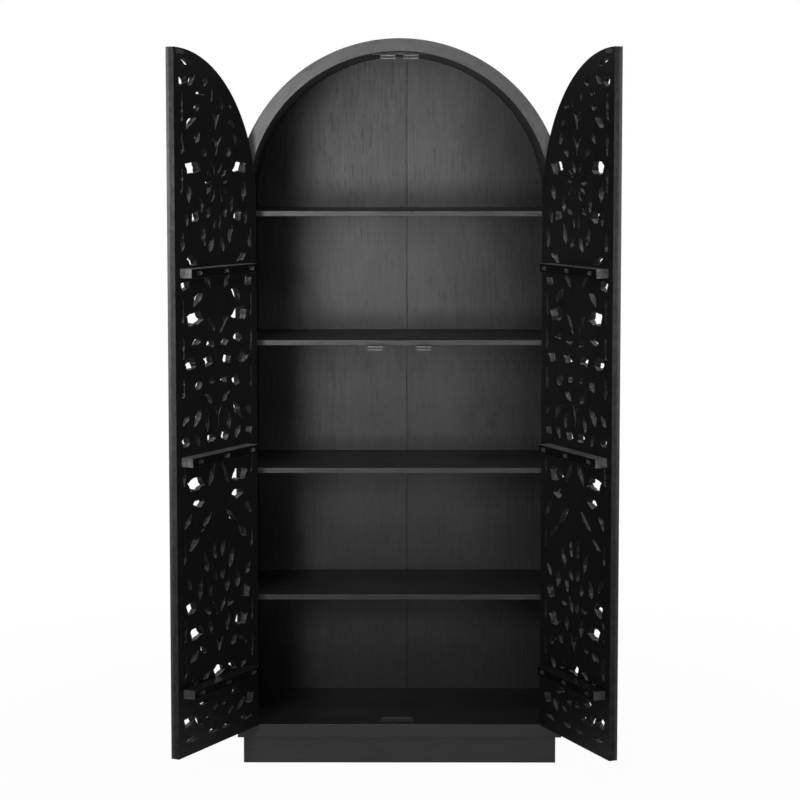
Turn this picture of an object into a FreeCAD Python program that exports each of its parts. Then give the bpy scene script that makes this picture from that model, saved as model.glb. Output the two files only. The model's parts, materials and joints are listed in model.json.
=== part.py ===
"""Tall cabinet with a round-arched top, four shelves and two pierced doors that stand open.

Lengths are in millimetres. +X is to the right of someone who faces the cabinet, +Y runs from its front
to its back and +Z is up. The origin is on the floor, under the middle of the carcass.
"""
import FreeCAD
import Part
import math
import os
import re

Vector = FreeCAD.Vector
Rotation = FreeCAD.Rotation
Placement = FreeCAD.Placement

# Driving dimensions, one named cell each
SIZES = {
    # carcass
    "carcass_width": 1000,
    "carcass_depth": 490,
    "spring_height": 1731,
    "wall_thickness": 39,
    "base_thickness": 42,
    # plinth
    "plinth_height": 85,
    "plinth_side_inset": 17,
    "plinth_front_inset": 22,
    "plinth_back_inset": 12,
    "plinth_thickness": 20,
    "corner_block_size": 40,
    "corner_block_height": 70,
    # back
    "back_thickness": 9,
    "back_recess": 4,
    "back_rebate": 12,
    "back_clearance": 0.3,
    "seam_offset": 22,
    "seam_gap": 0.8,
    "seam_lap": 8,
    # shelves
    "top_shelf_drop": 22,
    "shelf_thickness": 16,
    "shelf_setback": 52,
    "shelf_housing": 6,
    "housing_clearance": 0.2,
    # crown block and door stop
    "crown_drop": 8.5,
    "crown_depth": 60,
    "crown_glue_gap": 0.15,
    "stop_width": 112,
    "stop_top_width": 95,
    "stop_height": 15,
    "stop_depth": 18,
    "stop_offset": 8,
    "stop_gap": 0.6,
    # doors
    "door_thickness": 26,
    "door_gap": 4,
    "meeting_gap": 5,
    "door_floor_gap": 2.5,
    "door_border": 26,
    "field_recess": 7,
    "left_open_angle": 117,
    "right_open_angle": 113,
    # battens
    "batten_height": 27,
    "batten_depth": 38,
    "batten_free_inset": 28,
    "batten_hinge_inset": 60,
    "batten_low_height": 188,
    "batten_high_drop": 188,
    "batten_counterbore": 6,
    "batten_counterbore_radius": 6,
    "batten_slot_length": 30,
    # butt hinges
    "hinge_length": 90,
    "hinge_low_height": 110,
    "hinge_high_drop": 111.5,
    "leaf_thickness": 2.5,
    "leaf_width": 22,
    "leaf_gap": 0.4,
    "knuckle_radius": 4,
    "knuckle_gap": 0.4,
    "pin_radius": 2.2,
    "pin_head": 1.6,
    "running_clearance": 0.05,
    "pivot_proud": 4.4,
    # magnetic catches
    "catch_width": 46,
    "catch_height": 15,
    "catch_flange_thickness": 3,
    "catch_flange_depth": 20,
    "catch_wall": 2.5,
    "catch_pocket_depth": 14,
    "catch_gap": 0.5,
    "crown_catch_offset": 35,
    "shelf_catch_offset": 74.5,
    "pole_thickness": 1.6,
    "pole_proud": 1,
    "strike_thickness": 1.5,
    "strike_width": 40,
    "strike_height": 13,
    # fasteners
    "small_screw_head_radius": 3.2,
    "small_screw_head_depth": 1.5,
    "small_screw_radius": 1.6,
    "small_screw_length": 15,
    "batten_screw_head_radius": 4.8,
    "batten_screw_head_depth": 2.6,
    "batten_screw_radius": 2.2,
    "batten_screw_length": 44,
    "dowel_radius": 5,
    "dowel_length": 50,
    "fit_room": 0.05,
    # how far a cutting shape runs past the face it cuts
    "overrun": 5,
}

SHELVES = 4
CATCH_SHELF = 3
SIDES = {"left": -1, "right": 1}
KNUCKLES = 5

# Places along a piece, as shares of its length, and up the straight part of a door's hinge edge
HINGE_MID_SHARE = 0.465
BATTEN_MID_SHARE = 0.5416
DOWEL_SHARES = (0.12, 0.5, 0.88)
HINGE_SCREW_SHARES = (-0.34, 0, 0.34)
BATTEN_SCREW_SHARES = (0.09, 0.485, 0.885)
BACK_SCREW_SHARE = 0.5
BACK_ARCH_ANGLES = (30, 62, 90, 118, 150)
CATCH_SCREW_SHARES = (-0.32, 0.32)
STRIKE_SCREW_SHARES = (-0.3, 0.3)

# Openings of a door. Across is measured from the door's middle line outwards, as a share of the door's
# width, up from its bottom edge, as a share of its height, and the opening's own length and width are
# shares of the door's width. The turn is in degrees and rises outwards where it is positive.
# Some openings near the arch are only on the free half or on the hinge half.
OPENING_SHARES = (
    ("slit", "free", 0.348, 0.979, 0.140, 0.032, 12),
    ("gap", "free", 0.398, 0.954, 0.100, 0.062, 0),
    ("slit", "free", 0.290, 0.955, 0.110, 0.040, -40),
    ("gap", "free", 0.125, 0.953, 0.070, 0.040, -10),
    ("slit", "free", 0.195, 0.937, 0.090, 0.032, 0),
    ("slit", "free", 0.060, 0.935, 0.085, 0.030, 85),
    ("slit", "hinge", 0.066, 0.924, 0.080, 0.030, 95),
    ("slit", "free", 0.230, 0.918, 0.080, 0.034, -10),
    ("gap", "hinge", 0.160, 0.921, 0.060, 0.034, -12),
    ("slot", "free", 0.412, 0.918, 0.180, 0.036, 90),
    ("slit", "free", 0.300, 0.897, 0.135, 0.050, -30),
    ("slit", "hinge", 0.195, 0.896, 0.075, 0.040, -30),
    ("tulip", "middle", 0.000, 0.899, 0.110, 0.100, 0),
    ("slit", "both", 0.225, 0.874, 0.090, 0.046, -60),
    ("slot", "free", 0.412, 0.866, 0.130, 0.036, 90),
    ("tulip", "middle", 0.000, 0.863, 0.105, 0.110, 0),
    ("slit", "both", 0.150, 0.853, 0.075, 0.044, 25),
    ("gap", "both", 0.285, 0.833, 0.175, 0.078, 0),
    ("slot", "free", 0.414, 0.815, 0.150, 0.028, 90),
    ("slit", "both", 0.340, 0.798, 0.120, 0.056, 80),
    ("slit", "both", 0.190, 0.781, 0.100, 0.040, 80),
    ("gap", "both", 0.100, 0.770, 0.060, 0.050, 0),
    ("gap", "both", 0.255, 0.764, 0.095, 0.066, 0),
    ("slit", "both", 0.365, 0.762, 0.090, 0.040, 75),
    ("slit", "both", 0.040, 0.756, 0.085, 0.028, 85),
    ("slit", "both", 0.168, 0.737, 0.130, 0.048, 75),
    ("slit", "both", 0.060, 0.724, 0.100, 0.044, -60),
    ("slot", "both", 0.410, 0.730, 0.120, 0.040, 90),
    ("slit", "both", 0.305, 0.702, 0.125, 0.044, 25),
    ("gap", "both", 0.380, 0.668, 0.110, 0.054, 0),
    ("slit", "both", 0.120, 0.670, 0.110, 0.038, 45),
    ("slit", "both", 0.230, 0.648, 0.140, 0.054, -36),
    ("slot", "both", 0.414, 0.634, 0.150, 0.028, 90),
    ("gap", "both", 0.270, 0.621, 0.200, 0.078, 0),
    ("slit", "both", 0.085, 0.610, 0.160, 0.034, 52),
    ("slit", "both", 0.088, 0.582, 0.100, 0.042, 10),
    ("slit", "both", 0.255, 0.587, 0.115, 0.044, -10),
    ("slot", "both", 0.414, 0.582, 0.140, 0.028, 90),
    ("gap", "both", 0.115, 0.558, 0.115, 0.060, 0),
    ("gap", "both", 0.320, 0.556, 0.130, 0.056, 0),
    ("slot", "both", 0.412, 0.525, 0.130, 0.034, 90),
    ("gap", "both", 0.070, 0.529, 0.065, 0.040, 0),
    ("slit", "both", 0.225, 0.524, 0.095, 0.056, -30),
    ("slit", "both", 0.105, 0.504, 0.095, 0.042, 35),
    ("slit", "both", 0.240, 0.480, 0.135, 0.054, -48),
    ("slit", "both", 0.385, 0.478, 0.095, 0.040, -40),
    ("tulip", "middle", 0.000, 0.477, 0.090, 0.130, 0),
    ("slit", "both", 0.125, 0.468, 0.110, 0.042, -75),
    ("gap", "both", 0.080, 0.447, 0.100, 0.054, 0),
    ("slit", "both", 0.250, 0.449, 0.095, 0.046, 55),
    ("gap", "both", 0.385, 0.448, 0.095, 0.052, 0),
    ("slot", "both", 0.414, 0.400, 0.120, 0.028, 90),
    ("gap", "both", 0.265, 0.386, 0.200, 0.078, 0),
    ("slit", "both", 0.078, 0.393, 0.165, 0.044, -58),
    ("slit", "both", 0.240, 0.357, 0.140, 0.054, 0),
    ("slit", "both", 0.150, 0.328, 0.180, 0.038, -40),
    ("slit", "both", 0.370, 0.333, 0.110, 0.042, -45),
    ("slit", "both", 0.300, 0.300, 0.125, 0.042, -32),
    ("slot", "both", 0.413, 0.288, 0.110, 0.030, 90),
    ("slit", "both", 0.055, 0.284, 0.115, 0.046, 80),
    ("slit", "both", 0.160, 0.268, 0.140, 0.050, 70),
    ("slit", "both", 0.050, 0.246, 0.070, 0.040, 60),
    ("slit", "both", 0.365, 0.243, 0.095, 0.042, 50),
    ("slit", "both", 0.225, 0.233, 0.130, 0.054, -80),
    ("slit", "both", 0.110, 0.228, 0.085, 0.046, 70),
    ("gap", "both", 0.335, 0.210, 0.120, 0.078, 0),
    ("slit", "both", 0.048, 0.200, 0.115, 0.034, 60),
    ("slit", "both", 0.140, 0.199, 0.075, 0.034, 15),
    ("slot", "both", 0.413, 0.180, 0.130, 0.030, 90),
    ("gap", "both", 0.275, 0.172, 0.170, 0.078, 0),
    ("slit", "both", 0.110, 0.172, 0.100, 0.048, 80),
    ("tulip", "middle", 0.000, 0.142, 0.100, 0.120, 0),
    ("slit", "both", 0.190, 0.144, 0.080, 0.042, 35),
    ("slit", "both", 0.300, 0.138, 0.110, 0.040, -30),
    ("slot", "both", 0.413, 0.128, 0.140, 0.030, 90),
    ("gap", "middle", 0.000, 0.107, 0.130, 0.070, 0),
    ("slit", "both", 0.300, 0.103, 0.085, 0.042, 30),
    ("slit", "both", 0.160, 0.106, 0.110, 0.034, -20),
    ("slit", "both", 0.195, 0.066, 0.105, 0.034, 0),
    ("gap", "both", 0.055, 0.057, 0.065, 0.040, 180),
    ("gap", "both", 0.375, 0.049, 0.120, 0.066, 0),
    ("slit", "both", 0.130, 0.042, 0.075, 0.030, 20),
    ("slit", "both", 0.262, 0.044, 0.110, 0.044, 35),
    ("slit", "both", 0.335, 0.021, 0.150, 0.028, 0),
    ("slit", "both", 0.085, 0.021, 0.110, 0.028, 0),
)
# The flower of narrow slits round the middle of the arch's motif
FLOWER_TURNS = (62, 30, -2, -34, -66)
FLOWER_UP_SHARE = 0.813
FLOWER_RADIUS_SHARE = 0.100
FLOWER_SLIT_SHARES = (0.080, 0.026)
# Corners of each kind of opening as shares of its length and width, each with the swell of the side
# that follows it as a share of the width, outwards where it is positive
OUTLINE_SHARES = {
    "slit": ((-0.5, 0.0, 0.38), (0.5, 0.0, 0.62)),
    "gap": ((-0.5, -0.2, 0.10), (0.36, -0.5, -0.06), (0.5, 0.28, 0.12), (-0.28, 0.5, -0.06)),
    "slot": ((-0.5, -0.3, 0.2), (0.5, -0.3, 0.08), (0.46, 0.3, 0.2), (-0.46, 0.3, 0.08)),
    "tulip": ((-0.5, 0.5, -0.06), (0.0, -0.5, -0.06), (0.5, 0.5, 0.05), (0.0, 0.2, 0.05)),
}
OUTLINE_SIDES = {"free": (1,), "hinge": (-1,), "both": (1, -1), "middle": (1,)}

# Formulas that several pieces share, in the names of the cells
INNER_HALF = "(carcass_width / 2 - wall_thickness)"
FRONT = "(-carcass_depth / 2)"
REAR = "(carcass_depth / 2)"
BACK_FRONT = f"({REAR} - back_recess - back_thickness)"
BASE_TOP = "(plinth_height + base_thickness)"
CROWN_BOTTOM = f"(spring_height + {INNER_HALF} - crown_drop)"
PIVOT_X = f"({INNER_HALF} - door_gap / 2)"
PIVOT_Y = f"({FRONT} - pivot_proud)"
DOOR_BOTTOM = f"({BASE_TOP} + door_floor_gap)"
CATCH_FRONT = f"({FRONT} + door_thickness + strike_thickness + catch_gap + pole_proud)"
SHELF_PITCH = f"((spring_height - top_shelf_drop - {BASE_TOP}) / {SHELVES})"

# The same in the door's own frame: the hinge axis is its origin, X runs to the free edge of a left
# door, Y into the closed cabinet and Z up from the door's bottom edge
HINGE_EDGE = "(door_gap / 2)"
FREE_EDGE = f"({PIVOT_X} - meeting_gap / 2)"
INNER_FACE = "(pivot_proud + door_thickness)"
DOOR_WIDTH = f"({FREE_EDGE} - {HINGE_EDGE})"
DOOR_SPRING = f"(spring_height - {DOOR_BOTTOM})"
DOOR_RADIUS = f"({INNER_HALF} - door_gap)"
HINGE_HEIGHTS = {
    "low": "hinge_low_height",
    "mid": f"({HINGE_MID_SHARE} * {DOOR_SPRING})",
    "high": f"({DOOR_SPRING} - hinge_high_drop)",
}
BATTEN_HEIGHTS = {
    "low": "batten_low_height",
    "mid": f"({BATTEN_MID_SHARE} * {DOOR_SPRING})",
    "high": f"({DOOR_SPRING} - batten_high_drop)",
}

doc = FreeCAD.newDocument("arched_cabinet")
sheet = doc.addObject("Spreadsheet::Sheet", "Sizes")
for row, (alias, size) in enumerate(SIZES.items(), 1):
    sheet.set(f"A{row}", alias)
    sheet.set(f"B{row}", str(size))
    sheet.setAlias(f"B{row}", alias)
doc.recompute()

nodes = []


def linked(formula):
    """The formula with each cell's name written as a link to the sheet."""
    def link(match):
        word = match.group()
        return f"Sizes.{word}" if word in SIZES else word
    return re.sub(r"[a-z_]+", link, str(formula))


def number(formula):
    return float(sheet.evalExpression(linked(formula)))


def shelf_top(index):
    return f"({BASE_TOP} + {SHELF_PITCH} * {index})"


def bind(item, **formulas):
    for name, formula in formulas.items():
        item.setExpression(name.replace("__", "."), linked(formula))


def seat(item, x, y, z):
    bind(item, Placement__Base__x=x, Placement__Base__y=y, Placement__Base__z=z)
    return item


def block(name, corner, extent):
    item = doc.addObject("Part::Box", name)
    bind(item, Length=extent[0], Width=extent[1], Height=extent[2])
    return seat(item, *corner)


def rod(name, start, radius, length, turn=None):
    item = doc.addObject("Part::Cylinder", name)
    if turn:
        item.Placement = Placement(Vector(), turn)
    bind(item, Radius=radius, Height=length)
    return seat(item, *start)


def gather(name, items):
    item = doc.addObject("Part::Compound", name)
    item.Links = items
    return item


def cut(name, base, tools):
    item = doc.addObject("Part::Cut", name)
    item.Base = base
    item.Tool = gather(f"{name}_cuts", tools)
    return item


def fuse(name, items):
    item = doc.addObject("Part::MultiFuse", name)
    item.Shapes = items
    item.Refine = True
    return item


def common(name, base, tool):
    item = doc.addObject("Part::Common", name)
    item.Base = base
    item.Tool = tool
    return item


def shaped(name, shape):
    item = doc.addObject("Part::Feature", name)
    item.Shape = shape
    return item


def node(label, item):
    item.Label = label
    nodes.append(item)
    return item


def span(side, near, far):
    """Where a span that lies from near to far off the middle plane starts on that side, and its length."""
    start = near if SIDES[side] > 0 else f"-({far})"
    return start, f"({far}) - ({near})"


def screw(head_radius, head_depth, radius, length, room=0.0):
    """A countersunk screw that points down from the origin, or the hole for it with some room."""
    rim = head_radius + room
    shank = radius + room
    point = length + room
    corners = [
        Vector(0, 0, 0),
        Vector(rim, 0, 0),
        Vector(shank, 0, -head_depth),
        Vector(shank, 0, radius - point),
        Vector(0, 0, -point),
        Vector(0, 0, 0),
    ]
    face = Part.Face(Part.makePolygon(corners))
    return face.revolve(Vector(0, 0, 0), Vector(0, 0, 1), 360)


def small_screw(room=0.0):
    return screw(
        number("small_screw_head_radius"),
        number("small_screw_head_depth"),
        number("small_screw_radius"),
        number("small_screw_length"),
        room,
    )


def batten_screw(room=0.0):
    return screw(
        number("batten_screw_head_radius"),
        number("batten_screw_head_depth"),
        number("batten_screw_radius"),
        number("batten_screw_length"),
        room,
    )


def dowel(room=0.0):
    half = number("dowel_length / 2") + room
    return Part.makeCylinder(number("dowel_radius") + room, half + half, Vector(0, 0, -half))


def copies(shape, places, direction=None):
    """One compound of separate copies of a shape, each turned to point along the direction."""
    turn = Rotation(Vector(0, 0, -1), direction) if direction else Rotation()
    solids = []
    for place in places:
        solid = shape.copy()
        solid.Placement = Placement(place, turn)
        solids.append(solid)
    return Part.makeCompound(solids)


fit_room = number("fit_room")
turn_up = Rotation(Vector(1, 0, 0), 90)


# Places of the fasteners that hold the carcass together

def dowel_places(height):
    middle = number(f"{INNER_HALF} + wall_thickness / 2")
    depth = number("carcass_depth")
    front = number(FRONT)
    places = []
    for sign in SIDES.values():
        for share in DOWEL_SHARES:
            places.append(Vector(sign * middle, front + share * depth, height))
    return places


def back_screw_places():
    rear = number(f"{BACK_FRONT} + back_thickness")
    radius = number(f"{INNER_HALF} + back_rebate / 2")
    spring = number("spring_height")
    places = []
    for sign in SIDES.values():
        for index in range(SHELVES):
            height = number(shelf_top(index + BACK_SCREW_SHARE))
            places.append(Vector(sign * radius, rear, height))
    for angle in BACK_ARCH_ANGLES:
        across = radius * math.cos(math.radians(angle))
        above = radius * math.sin(math.radians(angle))
        places.append(Vector(across, rear, spring + above))
    return places


def catch_places():
    """The top of each catch's front edge, keyed by its name."""
    front = number(CATCH_FRONT)
    shelf = number(f"{shelf_top(CATCH_SHELF)} - shelf_thickness")
    places = {}
    for side, sign in SIDES.items():
        crown_across = sign * number("crown_catch_offset")
        shelf_across = sign * number("shelf_catch_offset")
        places[f"catch_crown_{side}"] = Vector(crown_across, front, number(CROWN_BOTTOM))
        places[f"catch_shelf_{side}"] = Vector(shelf_across, front, shelf)
    return places


def catch_screw_places():
    flange = number(f"{FRONT} + shelf_setback + catch_flange_depth / 2") - number(CATCH_FRONT)
    below = number("catch_flange_thickness")
    places = []
    for corner in catch_places().values():
        for share in CATCH_SCREW_SHARES:
            across = share * number("catch_width")
            places.append(corner + Vector(across, flange, -below))
    return places


def hinge_heights():
    return [number(f"{DOOR_BOTTOM} + {height}") for height in HINGE_HEIGHTS.values()]


def frame_screw_places(side):
    face = SIDES[side] * number(f"{PIVOT_X} + leaf_gap / 2")
    depth = number(f"{FRONT} + leaf_width / 2")
    places = []
    for height in hinge_heights():
        for share in HINGE_SCREW_SHARES:
            places.append(Vector(face, depth, height + share * number("hinge_length")))
    return places


dowels = copies(dowel(), dowel_places(number("spring_height")) + dowel_places(number(BASE_TOP)))
dowel_holes = shaped("dowel_holes", copies(
    dowel(fit_room),
    dowel_places(number("spring_height")) + dowel_places(number(BASE_TOP)),
))
back_screw_holes = shaped("back_screw_holes", copies(
    small_screw(fit_room), back_screw_places(), Vector(0, -1, 0),
))
catch_screw_holes = shaped("catch_screw_holes", copies(
    small_screw(fit_room), catch_screw_places(), Vector(0, 0, 1),
))
frame_screw_holes = {}
for side, sign in SIDES.items():
    frame_screw_holes[side] = shaped(f"frame_screw_holes_{side}", copies(
        small_screw(fit_room), frame_screw_places(side), Vector(sign, 0, 0),
    ))


# Carcass

def side_panel(side):
    start, length = span(side, INNER_HALF, "carcass_width / 2")
    height = f"spring_height - {BASE_TOP}"
    board = block(f"board_{side}", (start, FRONT, BASE_TOP), (length, "carcass_depth", height))
    start, length = span(side, f"{INNER_HALF} - overrun", f"{INNER_HALF} + back_rebate")
    rebate = block(
        f"rebate_{side}",
        (start, BACK_FRONT, f"{BASE_TOP} - overrun"),
        (length, "back_thickness + back_recess + overrun", f"{height} + 2 * overrun"),
    )
    tools = [rebate, frame_screw_holes[side], dowel_holes, back_screw_holes]
    start, length = span(side, f"{INNER_HALF} - overrun", f"{INNER_HALF} + shelf_housing")
    for index in range(1, SHELVES + 1):
        tools.append(block(
            f"housing_{side}_{index}",
            (start, f"{FRONT} + shelf_setback", f"{shelf_top(index)} - shelf_thickness"),
            (length, f"{BACK_FRONT} - {FRONT} - shelf_setback", "shelf_thickness"),
        ))
    mortise = f"{PIVOT_X} + leaf_gap / 2 + leaf_thickness"
    start, length = span(side, f"{INNER_HALF} - overrun", mortise)
    for level, height in HINGE_HEIGHTS.items():
        tools.append(block(
            f"mortise_{side}_{level}",
            (start, f"{FRONT} - overrun", f"{DOOR_BOTTOM} + {height} - hinge_length / 2"),
            (length, "leaf_width + overrun", "hinge_length"),
        ))
    return cut(f"side_panel_{side}", board, tools)


def half_disc(name, radius, back, depth):
    """A half disc that stands on the springing line and runs forward from its back."""
    item = rod(name, (0, back, "spring_height"), radius, depth, turn_up)
    item.Angle = 180
    return item


def arch_top():
    outer = half_disc("arch_outer", "carcass_width / 2", REAR, "carcass_depth")
    inner = rod(
        "arch_inner", (0, f"{REAR} + overrun", "spring_height"),
        INNER_HALF, "carcass_depth + 2 * overrun", turn_up,
    )
    rebate = rod(
        "arch_rebate", (0, f"{REAR} + overrun", "spring_height"),
        f"{INNER_HALF} + back_rebate", "back_recess + back_thickness + overrun", turn_up,
    )
    ring = cut("arch_ring", outer, [inner])
    return cut("arch_top", ring, [rebate, dowel_holes, back_screw_holes, catch_screw_holes])


def bottom_board():
    board = block(
        "bottom_blank",
        ("-carcass_width / 2", FRONT, "plinth_height"),
        ("carcass_width", "carcass_depth", "base_thickness"),
    )
    return cut("bottom_board", board, [dowel_holes])


def back_boards():
    """Two boards that lap at the seam: a lip of the left one lies behind the right one's edge."""
    reach = f"({INNER_HALF} + back_rebate - back_clearance)"
    foot = f"({BASE_TOP} + back_clearance)"
    tall = f"(spring_height + {reach} - {foot})"
    disc = half_disc("back_disc", reach, f"{BACK_FRONT} + back_thickness", "back_thickness")
    straight = block(
        "back_straight", (f"-{reach}", BACK_FRONT, foot),
        (f"2 * {reach}", "back_thickness", f"spring_height - {foot}"),
    )
    whole = fuse("back_whole", [straight, disc])
    left_edge = "(seam_offset - seam_gap / 2)"
    right_edge = "(seam_offset + seam_gap / 2)"
    half_depth = f"({BACK_FRONT} + back_thickness / 2)"
    left_face = block(
        "back_left_face", (f"-{reach}", BACK_FRONT, foot),
        (f"{reach} + {left_edge}", "back_thickness", tall),
    )
    lip = block(
        "back_lip", (left_edge, half_depth, foot),
        ("seam_lap", "back_thickness / 2", tall),
    )
    right_face = block(
        "back_right_face", (right_edge, BACK_FRONT, foot),
        (f"{reach} - {right_edge}", "back_thickness", tall),
    )
    lap = block(
        "back_lap", (f"{right_edge} - overrun", half_depth, f"{foot} - overrun"),
        ("seam_lap + overrun", "back_thickness / 2 + overrun", f"{tall} + 2 * overrun"),
    )
    shares = {
        "left": fuse("back_left_blank", [left_face, lip]),
        "right": cut("back_right_blank", right_face, [lap]),
    }
    boards = {}
    for side, blank in shares.items():
        trimmed = common(f"back_trimmed_{side}", whole, blank)
        boards[side] = cut(f"back_board_{side}", trimmed, [back_screw_holes])
    return boards


def shelf(index):
    reach = f"({INNER_HALF} + shelf_housing - housing_clearance)"
    board = block(
        f"shelf_blank_{index}",
        (f"-{reach}", f"{FRONT} + shelf_setback", f"{shelf_top(index)} - shelf_thickness"),
        (f"2 * {reach}", f"{BACK_FRONT} - {FRONT} - shelf_setback", "shelf_thickness"),
    )
    if index == CATCH_SHELF:
        return cut(f"shelf_{index}", board, [catch_screw_holes])
    return board


def plinth():
    half = "(carcass_width / 2 - plinth_side_inset)"
    front = f"({FRONT} + plinth_front_inset)"
    rear = f"({REAR} - plinth_back_inset)"
    inside = f"({front} + plinth_thickness)"
    between = f"({rear} - {front} - 2 * plinth_thickness)"
    long_board = (f"2 * {half}", "plinth_thickness", "plinth_height")
    short_board = ("plinth_thickness", between, "plinth_height")
    node("plinth_front", block("plinth_front", (f"-{half}", front, 0), long_board))
    node("plinth_back", block("plinth_back", (f"-{half}", f"{rear} - plinth_thickness", 0), long_board))
    node("plinth_bearer", block("plinth_bearer", ("-plinth_thickness / 2", inside, 0), short_board))
    blocks = []
    for side in SIDES:
        start, _ = span(side, f"{half} - plinth_thickness", half)
        node(f"plinth_side_{side}", block(f"plinth_side_{side}", (start, inside, 0), short_board))
        start, _ = span(side, f"{half} - plinth_thickness - corner_block_size", f"{half} - plinth_thickness")
        depths = {"front": inside, "rear": f"{rear} - plinth_thickness - corner_block_size"}
        for end, depth in depths.items():
            blocks.append(block(
                f"corner_block_{side}_{end}",
                (start, depth, "plinth_height - corner_block_height"),
                ("corner_block_size", "corner_block_size", "corner_block_height"),
            ))
    node("plinth_corner_blocks", gather("plinth_corner_blocks", blocks))


def crown_block():
    bar = block(
        "crown_bar",
        (f"-{INNER_HALF}", f"{FRONT} + shelf_setback", CROWN_BOTTOM),
        (f"2 * {INNER_HALF}", "crown_depth", "crown_drop"),
    )
    vault = rod(
        "crown_vault", (0, REAR, "spring_height"),
        f"{INNER_HALF} - crown_glue_gap", "carcass_depth", turn_up,
    )
    segment = common("crown_segment", bar, vault)
    return cut("crown_block", segment, [catch_screw_holes])


def door_stop():
    item = doc.addObject("Part::Wedge", "door_stop")
    item.Placement = Placement(Vector(), turn_up)
    bind(
        item,
        Xmin="-stop_width / 2", Xmax="stop_width / 2",
        Ymin=0, Ymax="stop_height",
        Zmin=0, Zmax="stop_depth",
        X2min="-stop_top_width / 2", X2max="stop_top_width / 2",
        Z2min=0, Z2max="stop_depth",
    )
    return seat(item, "-stop_offset", f"{FRONT} + door_thickness + stop_gap + stop_depth", BASE_TOP)


for side in SIDES:
    node(f"side_panel_{side}", side_panel(side))
node("arch_top", arch_top())
node("bottom_board", bottom_board())
for side, board in back_boards().items():
    node(f"back_board_{side}", board)
for index in range(1, SHELVES + 1):
    node(f"shelf_{index}", shelf(index))
plinth()
node("crown_block", crown_block())
node("door_stop", door_stop())
node("carcass_dowels", shaped("carcass_dowels", dowels))
node("back_screws", shaped("back_screws", copies(small_screw(), back_screw_places(), Vector(0, -1, 0))))


# Magnetic catches

def catch_parts(name, corner):
    """The case of one catch, its magnet and its two pole plates."""
    x = corner.x
    z = corner.z
    reach = f"({FRONT} + shelf_setback - {CATCH_FRONT})"
    pocket_width = "(catch_width - 2 * catch_wall)"
    pocket_height = "(catch_height - 2 * catch_wall)"
    top = f"({CROWN_BOTTOM})" if "crown" in name else f"({shelf_top(CATCH_SHELF)} - shelf_thickness)"
    offset = "crown_catch_offset" if "crown" in name else "shelf_catch_offset"
    middle = offset if x > 0 else f"-{offset}"
    case = block(
        f"{name}_case", (f"{middle} - catch_width / 2", CATCH_FRONT, f"{top} - catch_height"),
        ("catch_width", reach, "catch_height"),
    )
    flange = block(
        f"{name}_flange",
        (f"{middle} - catch_width / 2", f"{FRONT} + shelf_setback", f"{top} - catch_flange_thickness"),
        ("catch_width", "catch_flange_depth", "catch_flange_thickness"),
    )
    pocket = block(
        f"{name}_pocket",
        (f"{middle} - {pocket_width} / 2", f"{CATCH_FRONT} - overrun", f"{top} - catch_height + catch_wall"),
        (pocket_width, "catch_pocket_depth + overrun", pocket_height),
    )
    body = cut(name, fuse(f"{name}_body", [case, flange]), [pocket, catch_screw_holes])
    left = f"({middle} - {pocket_width} / 2)"
    low = f"({top} - catch_height + catch_wall)"
    plate = (pocket_width, "catch_pocket_depth + pole_proud", "pole_thickness")
    plates = [
        block(f"{name}_low_pole", (left, f"{CATCH_FRONT} - pole_proud", low), plate),
        block(
            f"{name}_high_pole",
            (left, f"{CATCH_FRONT} - pole_proud", f"{low} + {pocket_height} - pole_thickness"),
            plate,
        ),
    ]
    magnet = block(
        f"{name}_magnet", (left, CATCH_FRONT, f"{low} + pole_thickness"),
        (pocket_width, "catch_pocket_depth", f"{pocket_height} - 2 * pole_thickness"),
    )
    return body, magnet, plates


magnets = []
pole_plates = []
for name, corner in catch_places().items():
    body, magnet, plates = catch_parts(name, corner)
    node(name, body)
    magnets.append(magnet)
    pole_plates += plates
node("catch_magnets", gather("catch_magnets", magnets))
node("catch_pole_plates", gather("catch_pole_plates", pole_plates))
node("catch_screws", shaped("catch_screws", copies(small_screw(), catch_screw_places(), Vector(0, 0, 1))))


# Butt hinges, made for a right-hand frame or a left-hand door about the hinge axis

def knuckle_spans(start):
    """Height and length of every other knuckle, beginning with the one numbered start."""
    length = f"((hinge_length - {KNUCKLES - 1} * knuckle_gap) / {KNUCKLES})"
    heights = []
    for index in range(start, KNUCKLES, 2):
        heights.append(f"(-hinge_length / 2 + {index} * ({length} + knuckle_gap))")
    return heights, length


def leaf(name, first_knuckle, screw_side):
    """A hinge leaf: its plate, its knuckles and the tabs that join them, bored and countersunk."""
    plate_back = "(pivot_proud + leaf_width)"
    plate_front = "(knuckle_radius + knuckle_gap / 2)"
    plate = block(
        f"{name}_plate", ("leaf_gap / 2", plate_front, "-hinge_length / 2"),
        ("leaf_thickness", f"{plate_back} - {plate_front}", "hinge_length"),
    )
    pieces = [plate]
    heights, length = knuckle_spans(first_knuckle)
    for index, height in enumerate(heights):
        pieces.append(rod(f"{name}_knuckle_{index}", (0, 0, height), "knuckle_radius", length))
        pieces.append(block(
            f"{name}_tab_{index}", ("leaf_gap / 2", 0, height),
            ("leaf_thickness", plate_front, length),
        ))
    bore = rod(
        f"{name}_bore", (0, 0, "-hinge_length / 2 - overrun"),
        "pin_radius + running_clearance", "hinge_length + 2 * overrun",
    )
    places = []
    for share in HINGE_SCREW_SHARES:
        places.append(Vector(
            number("leaf_gap / 2"),
            number("pivot_proud + leaf_width / 2"),
            share * number("hinge_length"),
        ))
    holes = shaped(f"{name}_holes", copies(small_screw(fit_room), places, Vector(screw_side, 0, 0)))
    return cut(name, fuse(f"{name}_solid", pieces), [bore, holes])


def mirrored(name, source):
    item = doc.addObject("Part::Mirroring", name)
    item.Source = source
    item.Normal = Vector(1, 0, 0)
    return item


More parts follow.
